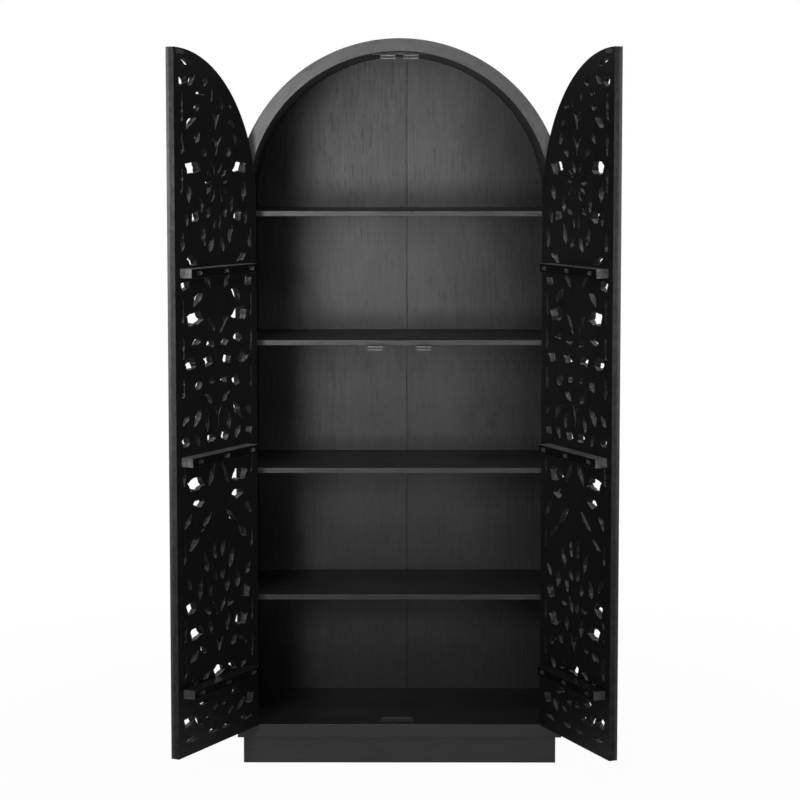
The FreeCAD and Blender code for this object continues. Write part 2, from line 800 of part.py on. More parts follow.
def hinge_pin():
    shaft = rod("pin_shaft", (0, 0, "-hinge_length / 2"), "pin_radius", "hinge_length")
    head = rod("pin_top", (0, 0, "hinge_length / 2"), "knuckle_radius", "pin_head")
    return fuse("hinge_pin", [shaft, head])


frame_leaves = {"right": leaf("frame_leaf", 0, 1)}
frame_leaves["left"] = mirrored("frame_leaf_mirrored", frame_leaves["right"])
door_leaves = {"left": leaf("door_leaf", 1, 1)}
door_leaves["right"] = mirrored("door_leaf_mirrored", door_leaves["left"])
pin = hinge_pin()

for side, sign in SIDES.items():
    pivot = PIVOT_X if sign > 0 else f"-{PIVOT_X}"
    pins = []
    for level, above in HINGE_HEIGHTS.items():
        height = f"{DOOR_BOTTOM} + {above}"
        label = f"{side}_hinge_{level}_frame_leaf"
        node(label, seat(gather(label, [frame_leaves[side]]), pivot, PIVOT_Y, height))
        pins.append(seat(gather(f"{side}_pin_{level}", [pin]), pivot, PIVOT_Y, height))
    node(f"{side}_hinge_pins", gather(f"{side}_hinge_pins", pins))
    screws = copies(small_screw(), frame_screw_places(side), Vector(sign, 0, 0))
    node(f"{side}_frame_screws", shaped(f"{side}_frame_screws", screws))


# Doors, made as a left-hand door in the door's own frame and mirrored for the right-hand one

def door_place(side):
    sign = SIDES[side]
    pivot = Vector(sign * number(PIVOT_X), number(PIVOT_Y), number(DOOR_BOTTOM))
    return Placement(pivot, Rotation(Vector(0, 0, 1), sign * number(f"{side}_open_angle")))


def door_node(label, source):
    """A left-hand and a right-hand node of one door piece, swung open about their hinge axes."""
    for side in SIDES:
        name = f"{side}_{label}"
        item = gather(name, [source]) if side == "left" else mirrored(name, source)
        item.Placement = door_place(side)
        node(name, item)


def door_outline(inset, y):
    """The door's outline at that depth, drawn in by the inset: straight sides and a quarter arch."""
    middle = number(PIVOT_X)
    spring = number(DOOR_SPRING)
    radius = number(DOOR_RADIUS) - inset
    left = number(HINGE_EDGE) + inset
    right = number(FREE_EDGE) - inset
    across = middle - right
    top = spring + math.sqrt(radius * radius - across * across)
    half_turn = (math.pi + math.acos(-across / radius)) / 2
    on_arch = Vector(middle + radius * math.cos(half_turn), y, spring + radius * math.sin(half_turn))
    corners = [Vector(left, y, inset), Vector(right, y, inset), Vector(right, y, top), Vector(left, y, spring)]
    edges = [
        Part.LineSegment(corners[0], corners[1]).toShape(),
        Part.LineSegment(corners[1], corners[2]).toShape(),
        Part.Arc(corners[2], on_arch, corners[3]).toShape(),
        Part.LineSegment(corners[3], corners[0]).toShape(),
    ]
    return Part.Face(Part.Wire(edges))


def opening_face(kind, length, width):
    """One opening's outline in the XZ plane about its own middle, its sides arcs that swell a little."""
    rows = OUTLINE_SHARES[kind]
    corners = [Vector(across * length, 0, up * width) for across, up, swell in rows]
    edges = []
    for index, corner in enumerate(corners):
        after = corners[(index + 1) % len(corners)]
        along = after - corner
        outwards = Vector(along.z, 0, -along.x)
        outwards.normalize()
        middle = (corner + after) * 0.5 + outwards * (rows[index][2] * width)
        edges.append(Part.Arc(corner, middle, after).toShape())
    return Part.Face(Part.Wire(edges))


def openings():
    """Prisms for all the openings of a left-hand door."""
    width = number(DOOR_WIDTH)
    height = number(f"{DOOR_SPRING} + {DOOR_RADIUS}")
    middle = number(f"({HINGE_EDGE} + {FREE_EDGE}) / 2")
    depth = Vector(0, number("door_thickness + overrun"), 0)
    rows = list(OPENING_SHARES)
    for turn in FLOWER_TURNS:
        across = FLOWER_RADIUS_SHARE * math.cos(math.radians(turn))
        up = FLOWER_UP_SHARE + FLOWER_RADIUS_SHARE * math.sin(math.radians(turn)) * width / height
        rows.append(("slit", "both", across, up, *FLOWER_SLIT_SHARES, turn))
    prisms = []
    for kind, sides, across, up, length, breadth, turn in rows:
        face = opening_face(kind, length * width, breadth * width)
        face.rotate(Vector(), Vector(0, -1, 0), turn)
        for sign in OUTLINE_SIDES[sides]:
            outline = face if sign > 0 else face.mirror(Vector(), Vector(1, 0, 0))
            outline = outline.copy()
            outline.translate(Vector(middle + sign * across * width, number("pivot_proud"), up * height))
            prisms.append(outline.extrude(depth))
    return prisms


def door_screw_places():
    edge = number("leaf_gap / 2")
    depth = number("pivot_proud + leaf_width / 2")
    places = []
    for height in HINGE_HEIGHTS.values():
        for share in HINGE_SCREW_SHARES:
            places.append(Vector(edge, depth, number(height) + share * number("hinge_length")))
    return places


def batten_screw_places():
    start = number(f"{HINGE_EDGE} + batten_hinge_inset")
    length = number(f"{DOOR_WIDTH} - batten_hinge_inset - batten_free_inset")
    depth = number(f"{INNER_FACE} + batten_depth - batten_counterbore")
    places = []
    for height in BATTEN_HEIGHTS.values():
        for share in BATTEN_SCREW_SHARES:
            places.append(Vector(start + share * length, depth, number(height)))
    return places


def strike_places():
    """The middle of each strike plate's back, on the door's inner face."""
    face = number(INNER_FACE)
    crown = number(f"{CROWN_BOTTOM} - catch_height / 2 - {DOOR_BOTTOM}")
    shelf = number(f"{shelf_top(CATCH_SHELF)} - shelf_thickness - catch_height / 2 - {DOOR_BOTTOM}")
    return {
        "crown": Vector(number(f"{PIVOT_X} - crown_catch_offset"), face, crown),
        "shelf": Vector(number(f"{PIVOT_X} - shelf_catch_offset"), face, shelf),
    }


def strike_screw_places():
    places = []
    for middle in strike_places().values():
        for share in STRIKE_SCREW_SHARES:
            places.append(middle + Vector(share * number("strike_width"), number("strike_thickness"), 0))
    return places


def door_mortises():
    depth = number("leaf_gap / 2 + leaf_thickness")
    length = number("hinge_length")
    overrun = number("overrun")
    width = number("leaf_width") + overrun
    start = number("pivot_proud") - overrun
    boxes = []
    for height in HINGE_HEIGHTS.values():
        bottom = number(f"{height} - hinge_length / 2")
        boxes.append(Part.makeBox(depth + overrun, width, length, Vector(-overrun, start, bottom)))
    return boxes


def door_panel():
    """The door: a slab with a recessed field on its outer face, pierced with leaf-shaped openings."""
    outer = number("pivot_proud")
    slab = door_outline(0, outer).extrude(Vector(0, number("door_thickness"), 0))
    start = outer - number("overrun")
    recess = door_outline(number("door_border"), start)
    recess = recess.extrude(Vector(0, number("field_recess + overrun"), 0))
    holes = [
        copies(small_screw(fit_room), door_screw_places(), Vector(1, 0, 0)),
        copies(batten_screw(fit_room), batten_screw_places(), Vector(0, -1, 0)),
        copies(small_screw(fit_room), strike_screw_places(), Vector(0, -1, 0)),
    ]
    panel = slab.cut([recess] + door_mortises()).cut(Part.makeCompound(openings()))
    return panel.cut(holes)


def slot(name, across, depth):
    """A sunk slot with round ends round a screw's head, which lets the door's wood move."""
    reach = "(batten_slot_length / 2 - batten_counterbore_radius)"
    deep = "(batten_counterbore + overrun)"
    pieces = [block(
        f"{name}_middle", (f"{across} - {reach}", depth, "-batten_counterbore_radius"),
        (f"2 * {reach}", deep, "2 * batten_counterbore_radius"),
    )]
    for end, middle in (("near", f"{across} - {reach}"), ("far", f"{across} + {reach}")):
        pieces.append(rod(
            f"{name}_{end}", (middle, f"{depth} + {deep}", 0), "batten_counterbore_radius", deep, turn_up,
        ))
    return fuse(name, pieces)


def batten():
    """A batten at the height of the door's bottom edge, bored and slotted for its screws."""
    start = f"({HINGE_EDGE} + batten_hinge_inset)"
    length = f"({DOOR_WIDTH} - batten_hinge_inset - batten_free_inset)"
    bar = block(
        "batten_bar", (start, INNER_FACE, "-batten_height / 2"),
        (length, "batten_depth", "batten_height"),
    )
    places = []
    bores = []
    for index, share in enumerate(BATTEN_SCREW_SHARES):
        across = f"({start} + {share} * {length})"
        seat_depth = f"({INNER_FACE} + batten_depth - batten_counterbore)"
        places.append(Vector(number(across), number(seat_depth), 0))
        bores.append(slot(f"batten_slot_{index}", across, seat_depth))
    holes = shaped("batten_holes", copies(batten_screw(fit_room), places, Vector(0, -1, 0)))
    return cut("batten", bar, bores + [holes])


def strike_plate():
    """A plate with round ends about its own middle, countersunk for two screws."""
    half = "((strike_width - strike_height) / 2)"
    turn_back = Rotation(Vector(1, 0, 0), -90)
    pieces = [block(
        "strike_middle", (f"-{half}", 0, "-strike_height / 2"),
        (f"2 * {half}", "strike_thickness", "strike_height"),
    )]
    for end, across in (("near", f"-{half}"), ("far", half)):
        pieces.append(rod(f"strike_{end}", (across, 0, 0), "strike_height / 2", "strike_thickness", turn_back))
    places = []
    for share in STRIKE_SCREW_SHARES:
        places.append(Vector(share * number("strike_width"), number("strike_thickness"), 0))
    holes = shaped("strike_holes", copies(small_screw(fit_room), places, Vector(0, -1, 0)))
    return cut("strike_plate", fuse("strike_blank", pieces), [holes])


door_node("door_panel", shaped("door_panel", door_panel()))
batten_bar = batten()
strike = strike_plate()
for level, height in BATTEN_HEIGHTS.items():
    raised = seat(gather(f"batten_{level}", [batten_bar]), 0, 0, height)
    door_node(f"batten_{level}", raised)
for level, height in HINGE_HEIGHTS.items():
    hung = seat(gather(f"door_leaf_{level}", [door_leaves["left"]]), 0, 0, height)
    door_node(f"hinge_{level}_door_leaf", hung)
plates = []
for name, middle in strike_places().items():
    plate = gather(f"strike_{name}", [strike])
    plate.Placement = Placement(middle, Rotation())
    plates.append(plate)
door_node("strike_plates", gather("strike_plates", plates))
door_node("hinge_screws", shaped("hinge_screws", copies(small_screw(), door_screw_places(), Vector(1, 0, 0))))
door_node("batten_screws", shaped("batten_screws", copies(
    batten_screw(), batten_screw_places(), Vector(0, -1, 0),
)))
door_node("strike_screws", shaped("strike_screws", copies(
    small_screw(), strike_screw_places(), Vector(0, -1, 0),
)))

doc.recompute()
for item in doc.Objects:
    if "Invalid" in item.State or "Error" in item.State:
        raise RuntimeError(f"{item.Label} failed to recompute: {item.State}")
for item in nodes:
    if item.Shape.isNull() or not item.Shape.isValid() or not item.Shape.Solids:
        raise RuntimeError(f"{item.Label} has no valid solid")

os.makedirs("parts", exist_ok=True)
for item in nodes:
    item.Shape.exportStep(f"parts/{item.Label}.step")
    print(item.Label, len(item.Shape.Solids), round(item.Shape.Volume))
print(len(nodes), "nodes")
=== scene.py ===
"""Looks of the tall arched cabinet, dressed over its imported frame.

Lengths are in metres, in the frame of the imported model: +X right, +Y front to back, +Z up.
"""
import json
import math

import bmesh
import bpy
from mathutils import Matrix, Vector
from mathutils.geometry import delaunay_2d_cdt
from mathutils.kdtree import KDTree
from mathutils.noise import noise_vector, seed_set


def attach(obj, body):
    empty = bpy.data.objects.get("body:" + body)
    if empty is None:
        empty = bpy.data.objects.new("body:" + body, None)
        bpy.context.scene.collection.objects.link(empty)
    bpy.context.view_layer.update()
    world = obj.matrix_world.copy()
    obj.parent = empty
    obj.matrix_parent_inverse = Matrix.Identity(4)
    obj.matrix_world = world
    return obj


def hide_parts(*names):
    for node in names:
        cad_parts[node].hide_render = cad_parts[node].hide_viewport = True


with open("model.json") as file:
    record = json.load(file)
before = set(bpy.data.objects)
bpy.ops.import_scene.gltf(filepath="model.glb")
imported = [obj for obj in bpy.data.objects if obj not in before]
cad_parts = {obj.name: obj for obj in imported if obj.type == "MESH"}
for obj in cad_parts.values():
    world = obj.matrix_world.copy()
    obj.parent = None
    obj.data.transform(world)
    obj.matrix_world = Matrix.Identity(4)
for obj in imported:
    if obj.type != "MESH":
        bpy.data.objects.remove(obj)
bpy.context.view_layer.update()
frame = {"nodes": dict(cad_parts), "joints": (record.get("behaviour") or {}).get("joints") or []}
nodes = frame["nodes"]

SPRING_HEIGHT = 1.731
ARCH_GRAIN_RADIUS = 0.48

# A door's own frame: origin on the hinge axis at the door's foot, X to the free edge, Y inwards, Z up
DOOR_FOOT = 0.1295
DOOR_MIDDLE = 0.22925
DOOR_FACE = 0.0044
DOOR_FIELD = 0.0114
DOOR_INSIDE = 0.0304
DOOR_FREE_EDGE = 0.4565
DOOR_SPRING = 1.6015
DOOR_RADIUS = 0.457
DOOR_ARCH_CENTRE = 0.459
SIDES = {"left": -1, "right": 1}
LEVELS = ("low", "mid", "high")

# How far each door stands open, in radians about +Z, and its own frame in the cabinet; the right-hand door
# is a mirror of the left one
DOOR_TURNS = {}
DOOR_PLACES = {}
for joint in frame["joints"]:
    side = joint["child"].split("_")[0]
    pivot = Vector((joint["pos_m"][0], joint["pos_m"][1], DOOR_FOOT))
    mirror = Matrix.Diagonal((-SIDES[side], 1, 1, 1))
    DOOR_TURNS[side] = math.radians(-joint["range_deg"][0]) * SIDES[side]
    DOOR_PLACES[side] = Matrix.Translation(pivot) @ Matrix.Rotation(DOOR_TURNS[side], 4, "Z") @ mirror


# Node helpers

def feed(tree, target, source):
    """Links a socket to an input, or sets the input to a plain value."""
    if isinstance(source, bpy.types.NodeSocket):
        tree.links.new(source, target)
    else:
        target.default_value = source


def add(tree, kind, inputs=None, **settings):
    """A new node with its settings, and with the inputs, by name or number, linked or set."""
    node = tree.nodes.new(kind)
    for name, value in settings.items():
        setattr(node, name, value)
    for name, source in (inputs or {}).items():
        feed(tree, node.inputs[name], source)
    return node


def first_of(tree, kind, inputs=None, **settings):
    """The first output of a new node."""
    return add(tree, kind, inputs, **settings).outputs[0]


def maths(tree, operation, first, second=0.0, third=0.0, clamp=False):
    inputs = {0: first, 1: second, 2: third}
    return first_of(tree, "ShaderNodeMath", inputs, operation=operation, use_clamp=clamp)


def spread(tree, value, low, high, start=0.0, end=1.0):
    """Maps a value from low..high to start..end, held at the ends."""
    inputs = {"Value": value, "From Min": low, "From Max": high, "To Min": start, "To Max": end}
    return first_of(tree, "ShaderNodeMapRange", inputs, clamp=True)


def mapped(tree, vector, place=(0, 0, 0), turn=(0, 0, 0), scale=(1, 1, 1), kind="POINT"):
    inputs = {"Vector": vector, "Location": place, "Rotation": turn, "Scale": scale}
    return first_of(tree, "ShaderNodeMapping", inputs, vector_type=kind)


def noise(tree, vector, scale, detail=3.0, roughness=0.55, distortion=0.0):
    inputs = {"Vector": vector, "Scale": scale, "Detail": detail, "Roughness": roughness}
    inputs["Distortion"] = distortion
    return first_of(tree, "ShaderNodeTexNoise", inputs)


def blend(tree, factor, first, second):
    inputs = {"Factor": factor, "A": first, "B": second}
    return add(tree, "ShaderNodeMix", inputs, data_type="RGBA").outputs["Result"]


def parted(tree, vector):
    """The X, Y and Z of a vector."""
    return add(tree, "ShaderNodeSeparateXYZ", {0: vector}).outputs


def joined(tree, x, y, z):
    """The vector of an X, a Y and a Z."""
    return first_of(tree, "ShaderNodeCombineXYZ", {0: x, 1: y, 2: z})


def attribute(tree, name):
    return add(tree, "ShaderNodeAttribute", attribute_name=name).outputs


def group_socket(group, name, direction, kind="Float", value=None):
    socket = group.interface.new_socket(name=name, in_out=direction, socket_type=f"NodeSocket{kind}")
    if value is not None:
        socket.default_value = value


def shader_group(name, numbers, results):
    """A shader group that takes a place and some numbers and gives numbers, and what it is given."""
    group = bpy.data.node_groups.new(name, "ShaderNodeTree")
    group_socket(group, "Place", "INPUT", "Vector")
    for label, value in numbers.items():
        group_socket(group, label, "INPUT", value=value)
    for label in results:
        group_socket(group, label, "OUTPUT")
    return group, add(group, "NodeGroupInput").outputs


def shape_group(name, inputs, result):
    """A group of geometry nodes that makes a mesh of points, and what it is given."""
    group = bpy.data.node_groups.new(name, "GeometryNodeTree")
    group_socket(group, "Points", "INPUT", "Geometry")
    for label, kind, value in inputs:
        group_socket(group, label, "INPUT", kind, value)
    group_socket(group, "Finish", "INPUT", "Material")
    group_socket(group, result, "OUTPUT", "Geometry")
    return group, add(group, "NodeGroupInput").outputs


# Wood

def make_grain_group():
    """Fibres, growth rings and pores of wood whose grain runs along Z of the place it is given."""
    group, given = shader_group(
        "stained_grain", {"Fibres per metre": 170.0, "Figure": 0.5}, ("Tone", "Pores", "Relief"),
    )
    place = given["Place"]
    count = given["Fibres per metre"]
    drawn = mapped(group, place, scale=(1, 1, 0.035))
    fibres = noise(group, drawn, count, 6, 0.62)
    fine = noise(group, drawn, maths(group, "MULTIPLY", count, 3.4), 2, 0.6)
    figure = noise(group, mapped(group, place, scale=(1, 1, 0.16)), 7.0, 2, 0.5, 0.4)
    rings = spread(group, maths(group, "SINE", maths(group, "MULTIPLY", figure, 95.0)), -1.0, 1.0)
    drift = noise(group, mapped(group, place, scale=(1, 1, 0.55)), 5.5, 4, 0.55, 0.6)
    tone = maths(group, "MULTIPLY", spread(group, fibres, 0.28, 0.72), 0.36)
    tone = maths(group, "MULTIPLY_ADD", rings, maths(group, "MULTIPLY", given["Figure"], 0.3), tone)
    tone = maths(group, "MULTIPLY_ADD", spread(group, drift, 0.3, 0.7), 0.36, tone)
    tone = maths(group, "MULTIPLY_ADD", spread(group, fine, 0.3, 0.7), 0.28, tone)
    pores = spread(group, noise(group, mapped(group, place, scale=(1, 1, 0.05)), 520.0, 1, 0.5), 0.62, 0.72)
    relief = maths(group, "MULTIPLY_ADD", pores, -0.8, spread(group, fibres, 0.25, 0.75))
    results = {"Tone": maths(group, "MINIMUM", tone, 1.0), "Pores": pores, "Relief": relief}
    add(group, "NodeGroupOutput", results)
    return group


def make_punch_group():
    """Marks of the small punch that roughens carved ground."""
    group, given = shader_group("punched_ground", {"Marks per metre": 330.0}, ("Relief",))
    inputs = {"Vector": given["Place"], "Scale": given["Marks per metre"]}
    away = first_of(group, "ShaderNodeTexVoronoi", inputs, feature="F1")
    add(group, "NodeGroupOutput", {"Relief": spread(group, away, 0.1, 0.5)})
    return group


def make_wear_and_light_group():
    """Where the stain is rubbed through, and where a lighter tone paints light on a face: as much as the
    face says, broken up into patches.
    """
    numbers = {"Wear and light": 0.0, "Patches per metre": 60.0}
    group, given = shader_group("worn_stain_and_painted_light", numbers, ("Bared and lit",))
    patches = noise(group, given["Place"], given["Patches per metre"], 3, 0.6)
    kept = spread(group, patches, 0.36, 0.62, 0.5, 1.0)
    bare = maths(group, "MULTIPLY", given["Wear and light"], kept, clamp=True)
    add(group, "NodeGroupOutput", {"Bared and lit": bare})
    return group


GRAIN = make_grain_group()
PUNCH = make_punch_group()
WEAR_AND_LIGHT = make_wear_and_light_group()
STAIN_DARK = (0.008, 0.008, 0.0086, 1)
STAIN_LIGHT = (0.026, 0.026, 0.0275, 1)
# Doors and battens are stained darker than the carcass: partly the wood's own black, partly painted shade
# of their inner faces
DOOR_STAIN_AND_SHADE_DARK = (0.003, 0.003, 0.0033, 1)
DOOR_STAIN_AND_SHADE_LIGHT = (0.0105, 0.0105, 0.0111, 1)
BATTEN_STAIN_AND_SHADE_LIGHT = (0.005, 0.005, 0.0053, 1)
# Bare wood where the stain is rubbed through; the same lighter tone also paints light on door edges, batten
# ends and tops, and upward walls of openings
BARE_AND_LIT_DARK = (0.08, 0.079, 0.078, 1)
BARE_AND_LIT_LIGHT = (0.23, 0.227, 0.224, 1)
PORE_TONE = (0.006, 0.006, 0.0065, 1)
WAXED_SHARE = 0.9
ALONG_X = (0, math.radians(90), 0)


def emptied(holder):
    """The node tree of a material or a world, with nothing in it."""
    holder.use_nodes = True
    holder.node_tree.nodes.clear()
    return holder.node_tree


def new_material(name):
    """A material with one Principled shader, and its tree."""
    material = bpy.data.materials.new(name)
    tree = emptied(material)
    shader = add(tree, "ShaderNodeBsdfPrincipled")
    add(tree, "ShaderNodeOutputMaterial", {"Surface": shader.outputs["BSDF"]})
    return material, tree, shader


def object_place(tree):
    return add(tree, "ShaderNodeTexCoord").outputs["Object"]


def arch_place(tree, vector):
    """Unrolls the arch, so that the grain runs round it."""
    parts = parted(tree, vector)
    above = maths(tree, "SUBTRACT", parts["Z"], SPRING_HEIGHT)
    angle = maths(tree, "ARCTAN2", above, parts["X"])
    square = maths(tree, "MULTIPLY", parts["X"], parts["X"])
    radius = maths(tree, "SQRT", maths(tree, "MULTIPLY_ADD", above, above, square))
    return joined(tree, radius, parts["Y"], maths(tree, "MULTIPLY", angle, ARCH_GRAIN_RADIUS))


def fine_relief(tree, shader, height, strength, distance):
    """Small relief of a surface, by a height."""
    surface = add(tree, "ShaderNodeBump", {"Strength": strength, "Distance": distance, "Height": height})
    feed(tree, shader.inputs["Normal"], surface.outputs["Normal"])
    return surface


def finish_wood(tree, shader, grain, dark, light, rough=(0.36, 0.5), bump=0.3, sheen=0.45):
    """Colour, gloss and fine relief of stain over open grain, rubbed through where a face is worn, and
    lighter where a face has painted light.
    """
    tone = blend(tree, grain["Tone"], dark, light)
    inputs = {"Place": object_place(tree), "Wear and light": attribute(tree, "wear_and_light")["Fac"]}
    wear_and_light_share = first_of(tree, "ShaderNodeGroup", inputs, node_tree=WEAR_AND_LIGHT)
    bare = blend(tree, grain["Tone"], BARE_AND_LIT_DARK, BARE_AND_LIT_LIGHT)
    tone = blend(tree, wear_and_light_share, tone, bare)
    tone = blend(tree, maths(tree, "MULTIPLY", grain["Pores"], 0.75), tone, PORE_TONE)
    feed(tree, shader.inputs["Base Color"], tone)
    gloss = spread(tree, grain["Tone"], 0.2, 1.0, rough[1], rough[0])
    feed(tree, shader.inputs["Roughness"], maths(tree, "MULTIPLY_ADD", grain["Pores"], 0.15, gloss))
    shader.inputs["Specular IOR Level"].default_value = sheen
    return fine_relief(tree, shader, grain["Relief"], bump, 0.0006)


def wax(tree, shader, share):
    """A rubbed coat of wax where the share says so."""
    feed(tree, shader.inputs["Coat Weight"], share)
    shader.inputs["Coat Roughness"].default_value = 0.42
    shader.inputs["Coat IOR"].default_value = 1.45


def grain_of(tree, vector, fibres=170.0, figure=0.5):
    inputs = {"Place": vector, "Fibres per metre": fibres, "Figure": figure}
    return add(tree, "ShaderNodeGroup", inputs, node_tree=GRAIN).outputs


def stained_wood(name, turn=(0, 0, 0), shift=(0, 0, 0), round_arch=False, figure=0.5, sheen=0.45):
    material, tree, shader = new_material(name)
    place = object_place(tree)
    if round_arch:
        place = arch_place(tree, place)
    place = mapped(tree, place, shift, turn)
    finish_wood(tree, shader, grain_of(tree, place, figure=figure), STAIN_DARK, STAIN_LIGHT, sheen=sheen)
    return material


def unrubbed_wood(name, shift, reach, dullness, sheen=0.45, waxed=False):
    """Upright wood, dulled over a reach of its distance from the cabinet's middle, and waxed beyond it."""
    material, tree, shader = new_material(name)
    place = object_place(tree)
    grain = grain_of(tree, mapped(tree, place, shift), 230.0, 0.3)
    finish_wood(tree, shader, grain, STAIN_DARK, STAIN_LIGHT, sheen=sheen)
    aside = maths(tree, "ABSOLUTE", parted(tree, place)["X"])
    dull = spread(tree, aside, *reach, *dullness)
    rubbed = shader.inputs["Roughness"].links[0].from_socket
    feed(tree, shader.inputs["Roughness"], maths(tree, "ADD", rubbed, dull, clamp=True))
    if waxed:
        wax(tree, shader, spread(tree, aside, *reach, 0.0, WAXED_SHARE))
    return material


def door_place_of(tree, side):
    """Object coordinates in the door's own frame, apart from the mirroring of a right-hand door."""
    hinge = DOOR_PLACES[side].translation
    return mapped(tree, object_place(tree), hinge, (0, 0, DOOR_TURNS[side]), kind="TEXTURE")


def carved_wood(side):
    """Wood of a door: upright grain in a black stain darkened further as painted shade, waxed outer face,
    punched ground and veined leaves.
    """
    material, tree, shader = new_material(f"carved_wood_{side}")
    place = door_place_of(tree, side)
    grain = grain_of(tree, place, 190.0, 0.35)
    surface = finish_wood(tree, shader, grain, DOOR_STAIN_AND_SHADE_DARK, DOOR_STAIN_AND_SHADE_LIGHT, (0.36, 0.5), 0.35, 0.12)
    depth = parted(tree, place)["Y"]
    wax(tree, shader, spread(tree, depth, DOOR_FIELD + 0.001, DOOR_FIELD + 0.004, WAXED_SHARE, 0.0))
    off = maths(tree, "ABSOLUTE", maths(tree, "SUBTRACT", depth, DOOR_FIELD))
    ground = spread(tree, off, 0.0003, 0.0006, 1.0, 0.0)
    punch = first_of(tree, "ShaderNodeGroup", {"Place": place}, node_tree=PUNCH)
    marks = maths(tree, "MULTIPLY", punch, ground)
    leaf = parted(tree, attribute(tree, "leaf")["Vector"])
    slant = maths(tree, "MULTIPLY", maths(tree, "ABSOLUTE", leaf["Y"]), -0.16)
    along = maths(tree, "MULTIPLY", maths(tree, "ADD", leaf["X"], slant), 9 * 2 * math.pi)
    veins = spread(tree, maths(tree, "SINE", along), -1.0, 0.2)
    marks = maths(tree, "MULTIPLY_ADD", maths(tree, "MULTIPLY", veins, leaf["Z"]), 1.1, marks)
    feed(tree, surface.inputs["Height"], maths(tree, "MULTIPLY_ADD", marks, 2.2, grain["Relief"]))
    return material


def batten_wood(side):
    """Wood of a door's battens, with the grain along the batten, in a stain darker still as painted shade.
    """
    material, tree, shader = new_material(f"batten_wood_{side}")
    place = mapped(tree, door_place_of(tree, side), turn=ALONG_X)
    grain = grain_of(tree, place, 210.0, 0.3)
    finish_wood(tree, shader, grain, DOOR_STAIN_AND_SHADE_DARK, BATTEN_STAIN_AND_SHADE_LIGHT, sheen=0.04)
    return material


def bare_wood():
    material, tree, shader = new_material("dowel_wood")
    grain = grain_of(tree, object_place(tree), 260.0, 0.2)
    finish_wood(tree, shader, grain, (0.42, 0.29, 0.17, 1), (0.66, 0.5, 0.32, 1))
    return material


def brushed_metal(name, dark, light, rough, metallic=1.0):
    """Plated or painted metal with fine scratches and a little dullness that varies."""
    material, tree, shader = new_material(name)
    place = object_place(tree)
    dull = noise(tree, place, 140.0, 3)
    fine = noise(tree, mapped(tree, place, scale=(0.12, 1, 1)), 900.0, 2)
    feed(tree, shader.inputs["Base Color"], blend(tree, spread(tree, dull, 0.3, 0.7), dark, light))
    feed(tree, shader.inputs["Roughness"], maths(tree, "MULTIPLY_ADD", dull, 0.2, rough - 0.1))
    shader.inputs["Metallic"].default_value = metallic
    fine_relief(tree, shader, fine, 0.12, 0.0002)
    return material


UPRIGHT = stained_wood("stained_wood_upright", figure=0.7)
# A side is left dull on its inner face and waxed beyond it; the back is rubbed in the middle, and duller
# near the sides, where a cloth hardly reaches
SIDE = {
    side: unrubbed_wood(f"side_wood_{side}", shift, (0.4612, 0.4625), (0.45, 0.0), 0.1, True)
    for side, shift in (("left", (0, 0, 0)), ("right", (3.7, 1.3, 0.4)))
}
BACK = {
    side: unrubbed_wood(f"back_wood_{side}", shift, (0.17, 0.44), (0.0, 0.28))
    for side, shift in (("left", (1.1, 0.6, 0.2)), ("right", (5.2, 2.3, 0.9)))
}
ACROSS = stained_wood("stained_wood_across", turn=ALONG_X)
DEEP = stained_wood("stained_wood_deep", turn=(math.radians(90), 0, 0))
BASE = stained_wood("stained_wood_base", turn=ALONG_X, shift=(2.1, 0.3, 1.4), sheen=0.62)
ARCHED = stained_wood("stained_wood_arched", round_arch=True, figure=0.4, sheen=0.65)
DOWEL = bare_wood()
CARVED = {side: carved_wood(side) for side in SIDES}
BATTEN = {side: batten_wood(side) for side in SIDES}
HINGE = brushed_metal("hinge_metal", (0.03, 0.03, 0.032, 1), (0.07, 0.07, 0.073, 1), 0.42, 0.8)
CASE = brushed_metal("catch_case", (0.03, 0.029, 0.028, 1), (0.055, 0.053, 0.051, 1), 0.5, 0.2)
MAGNET = brushed_metal("magnet", (0.012, 0.012, 0.013, 1), (0.03, 0.03, 0.031, 1), 0.65, 0.1)
PLATE = brushed_metal("plate_steel", (0.1, 0.1, 0.103, 1), (0.2, 0.2, 0.204, 1), 0.38)
SCREW = brushed_metal("screw_steel", (0.04, 0.04, 0.041, 1), (0.08, 0.08, 0.082, 1), 0.4)


def give_finish(finish, *names):
    """Sets the finish of CAD nodes."""
    for name in names:
        finishes = nodes[name].data.materials
        for index in range(len(finishes)):
            finishes[index] = finish


give_finish(ARCHED, "arch_top")
give_finish(BASE, "bottom_board", "plinth_front")
give_finish(ACROSS, "plinth_back", "crown_block", "door_stop", *(f"shelf_{index}" for index in range(1, 5)))
give_finish(DEEP, "plinth_bearer", "plinth_side_left", "plinth_side_right")
give_finish(UPRIGHT, "plinth_corner_blocks")
give_finish(DOWEL, "carcass_dowels")
give_finish(MAGNET, "catch_magnets")
give_finish(PLATE, "catch_pole_plates")
give_finish(SCREW, "back_screws", "catch_screws")
for side in SIDES:
    give_finish(SIDE[side], f"side_panel_{side}")
    give_finish(BACK[side], f"back_board_{side}")
    give_finish(CASE, f"catch_crown_{side}", f"catch_shelf_{side}")
    give_finish(CARVED[side], f"{side}_door_panel")
    give_finish(PLATE, f"{side}_strike_plates")
    give_finish(SCREW, f"{side}_batten_screws", f"{side}_strike_screws")
    give_finish(HINGE, f"{side}_hinge_pins", f"{side}_frame_screws", f"{side}_hinge_screws")
    for level in LEVELS:
        give_finish(BATTEN[side], f"{side}_batten_{level}")
        give_finish(HINGE, f"{side}_hinge_{level}_frame_leaf", f"{side}_hinge_{level}_door_leaf")


# Pieces

def put(name, data):
    """A new object of the scene."""
    made = bpy.data.objects.new(name, data)
    bpy.context.scene.collection.objects.link(made)
    return made


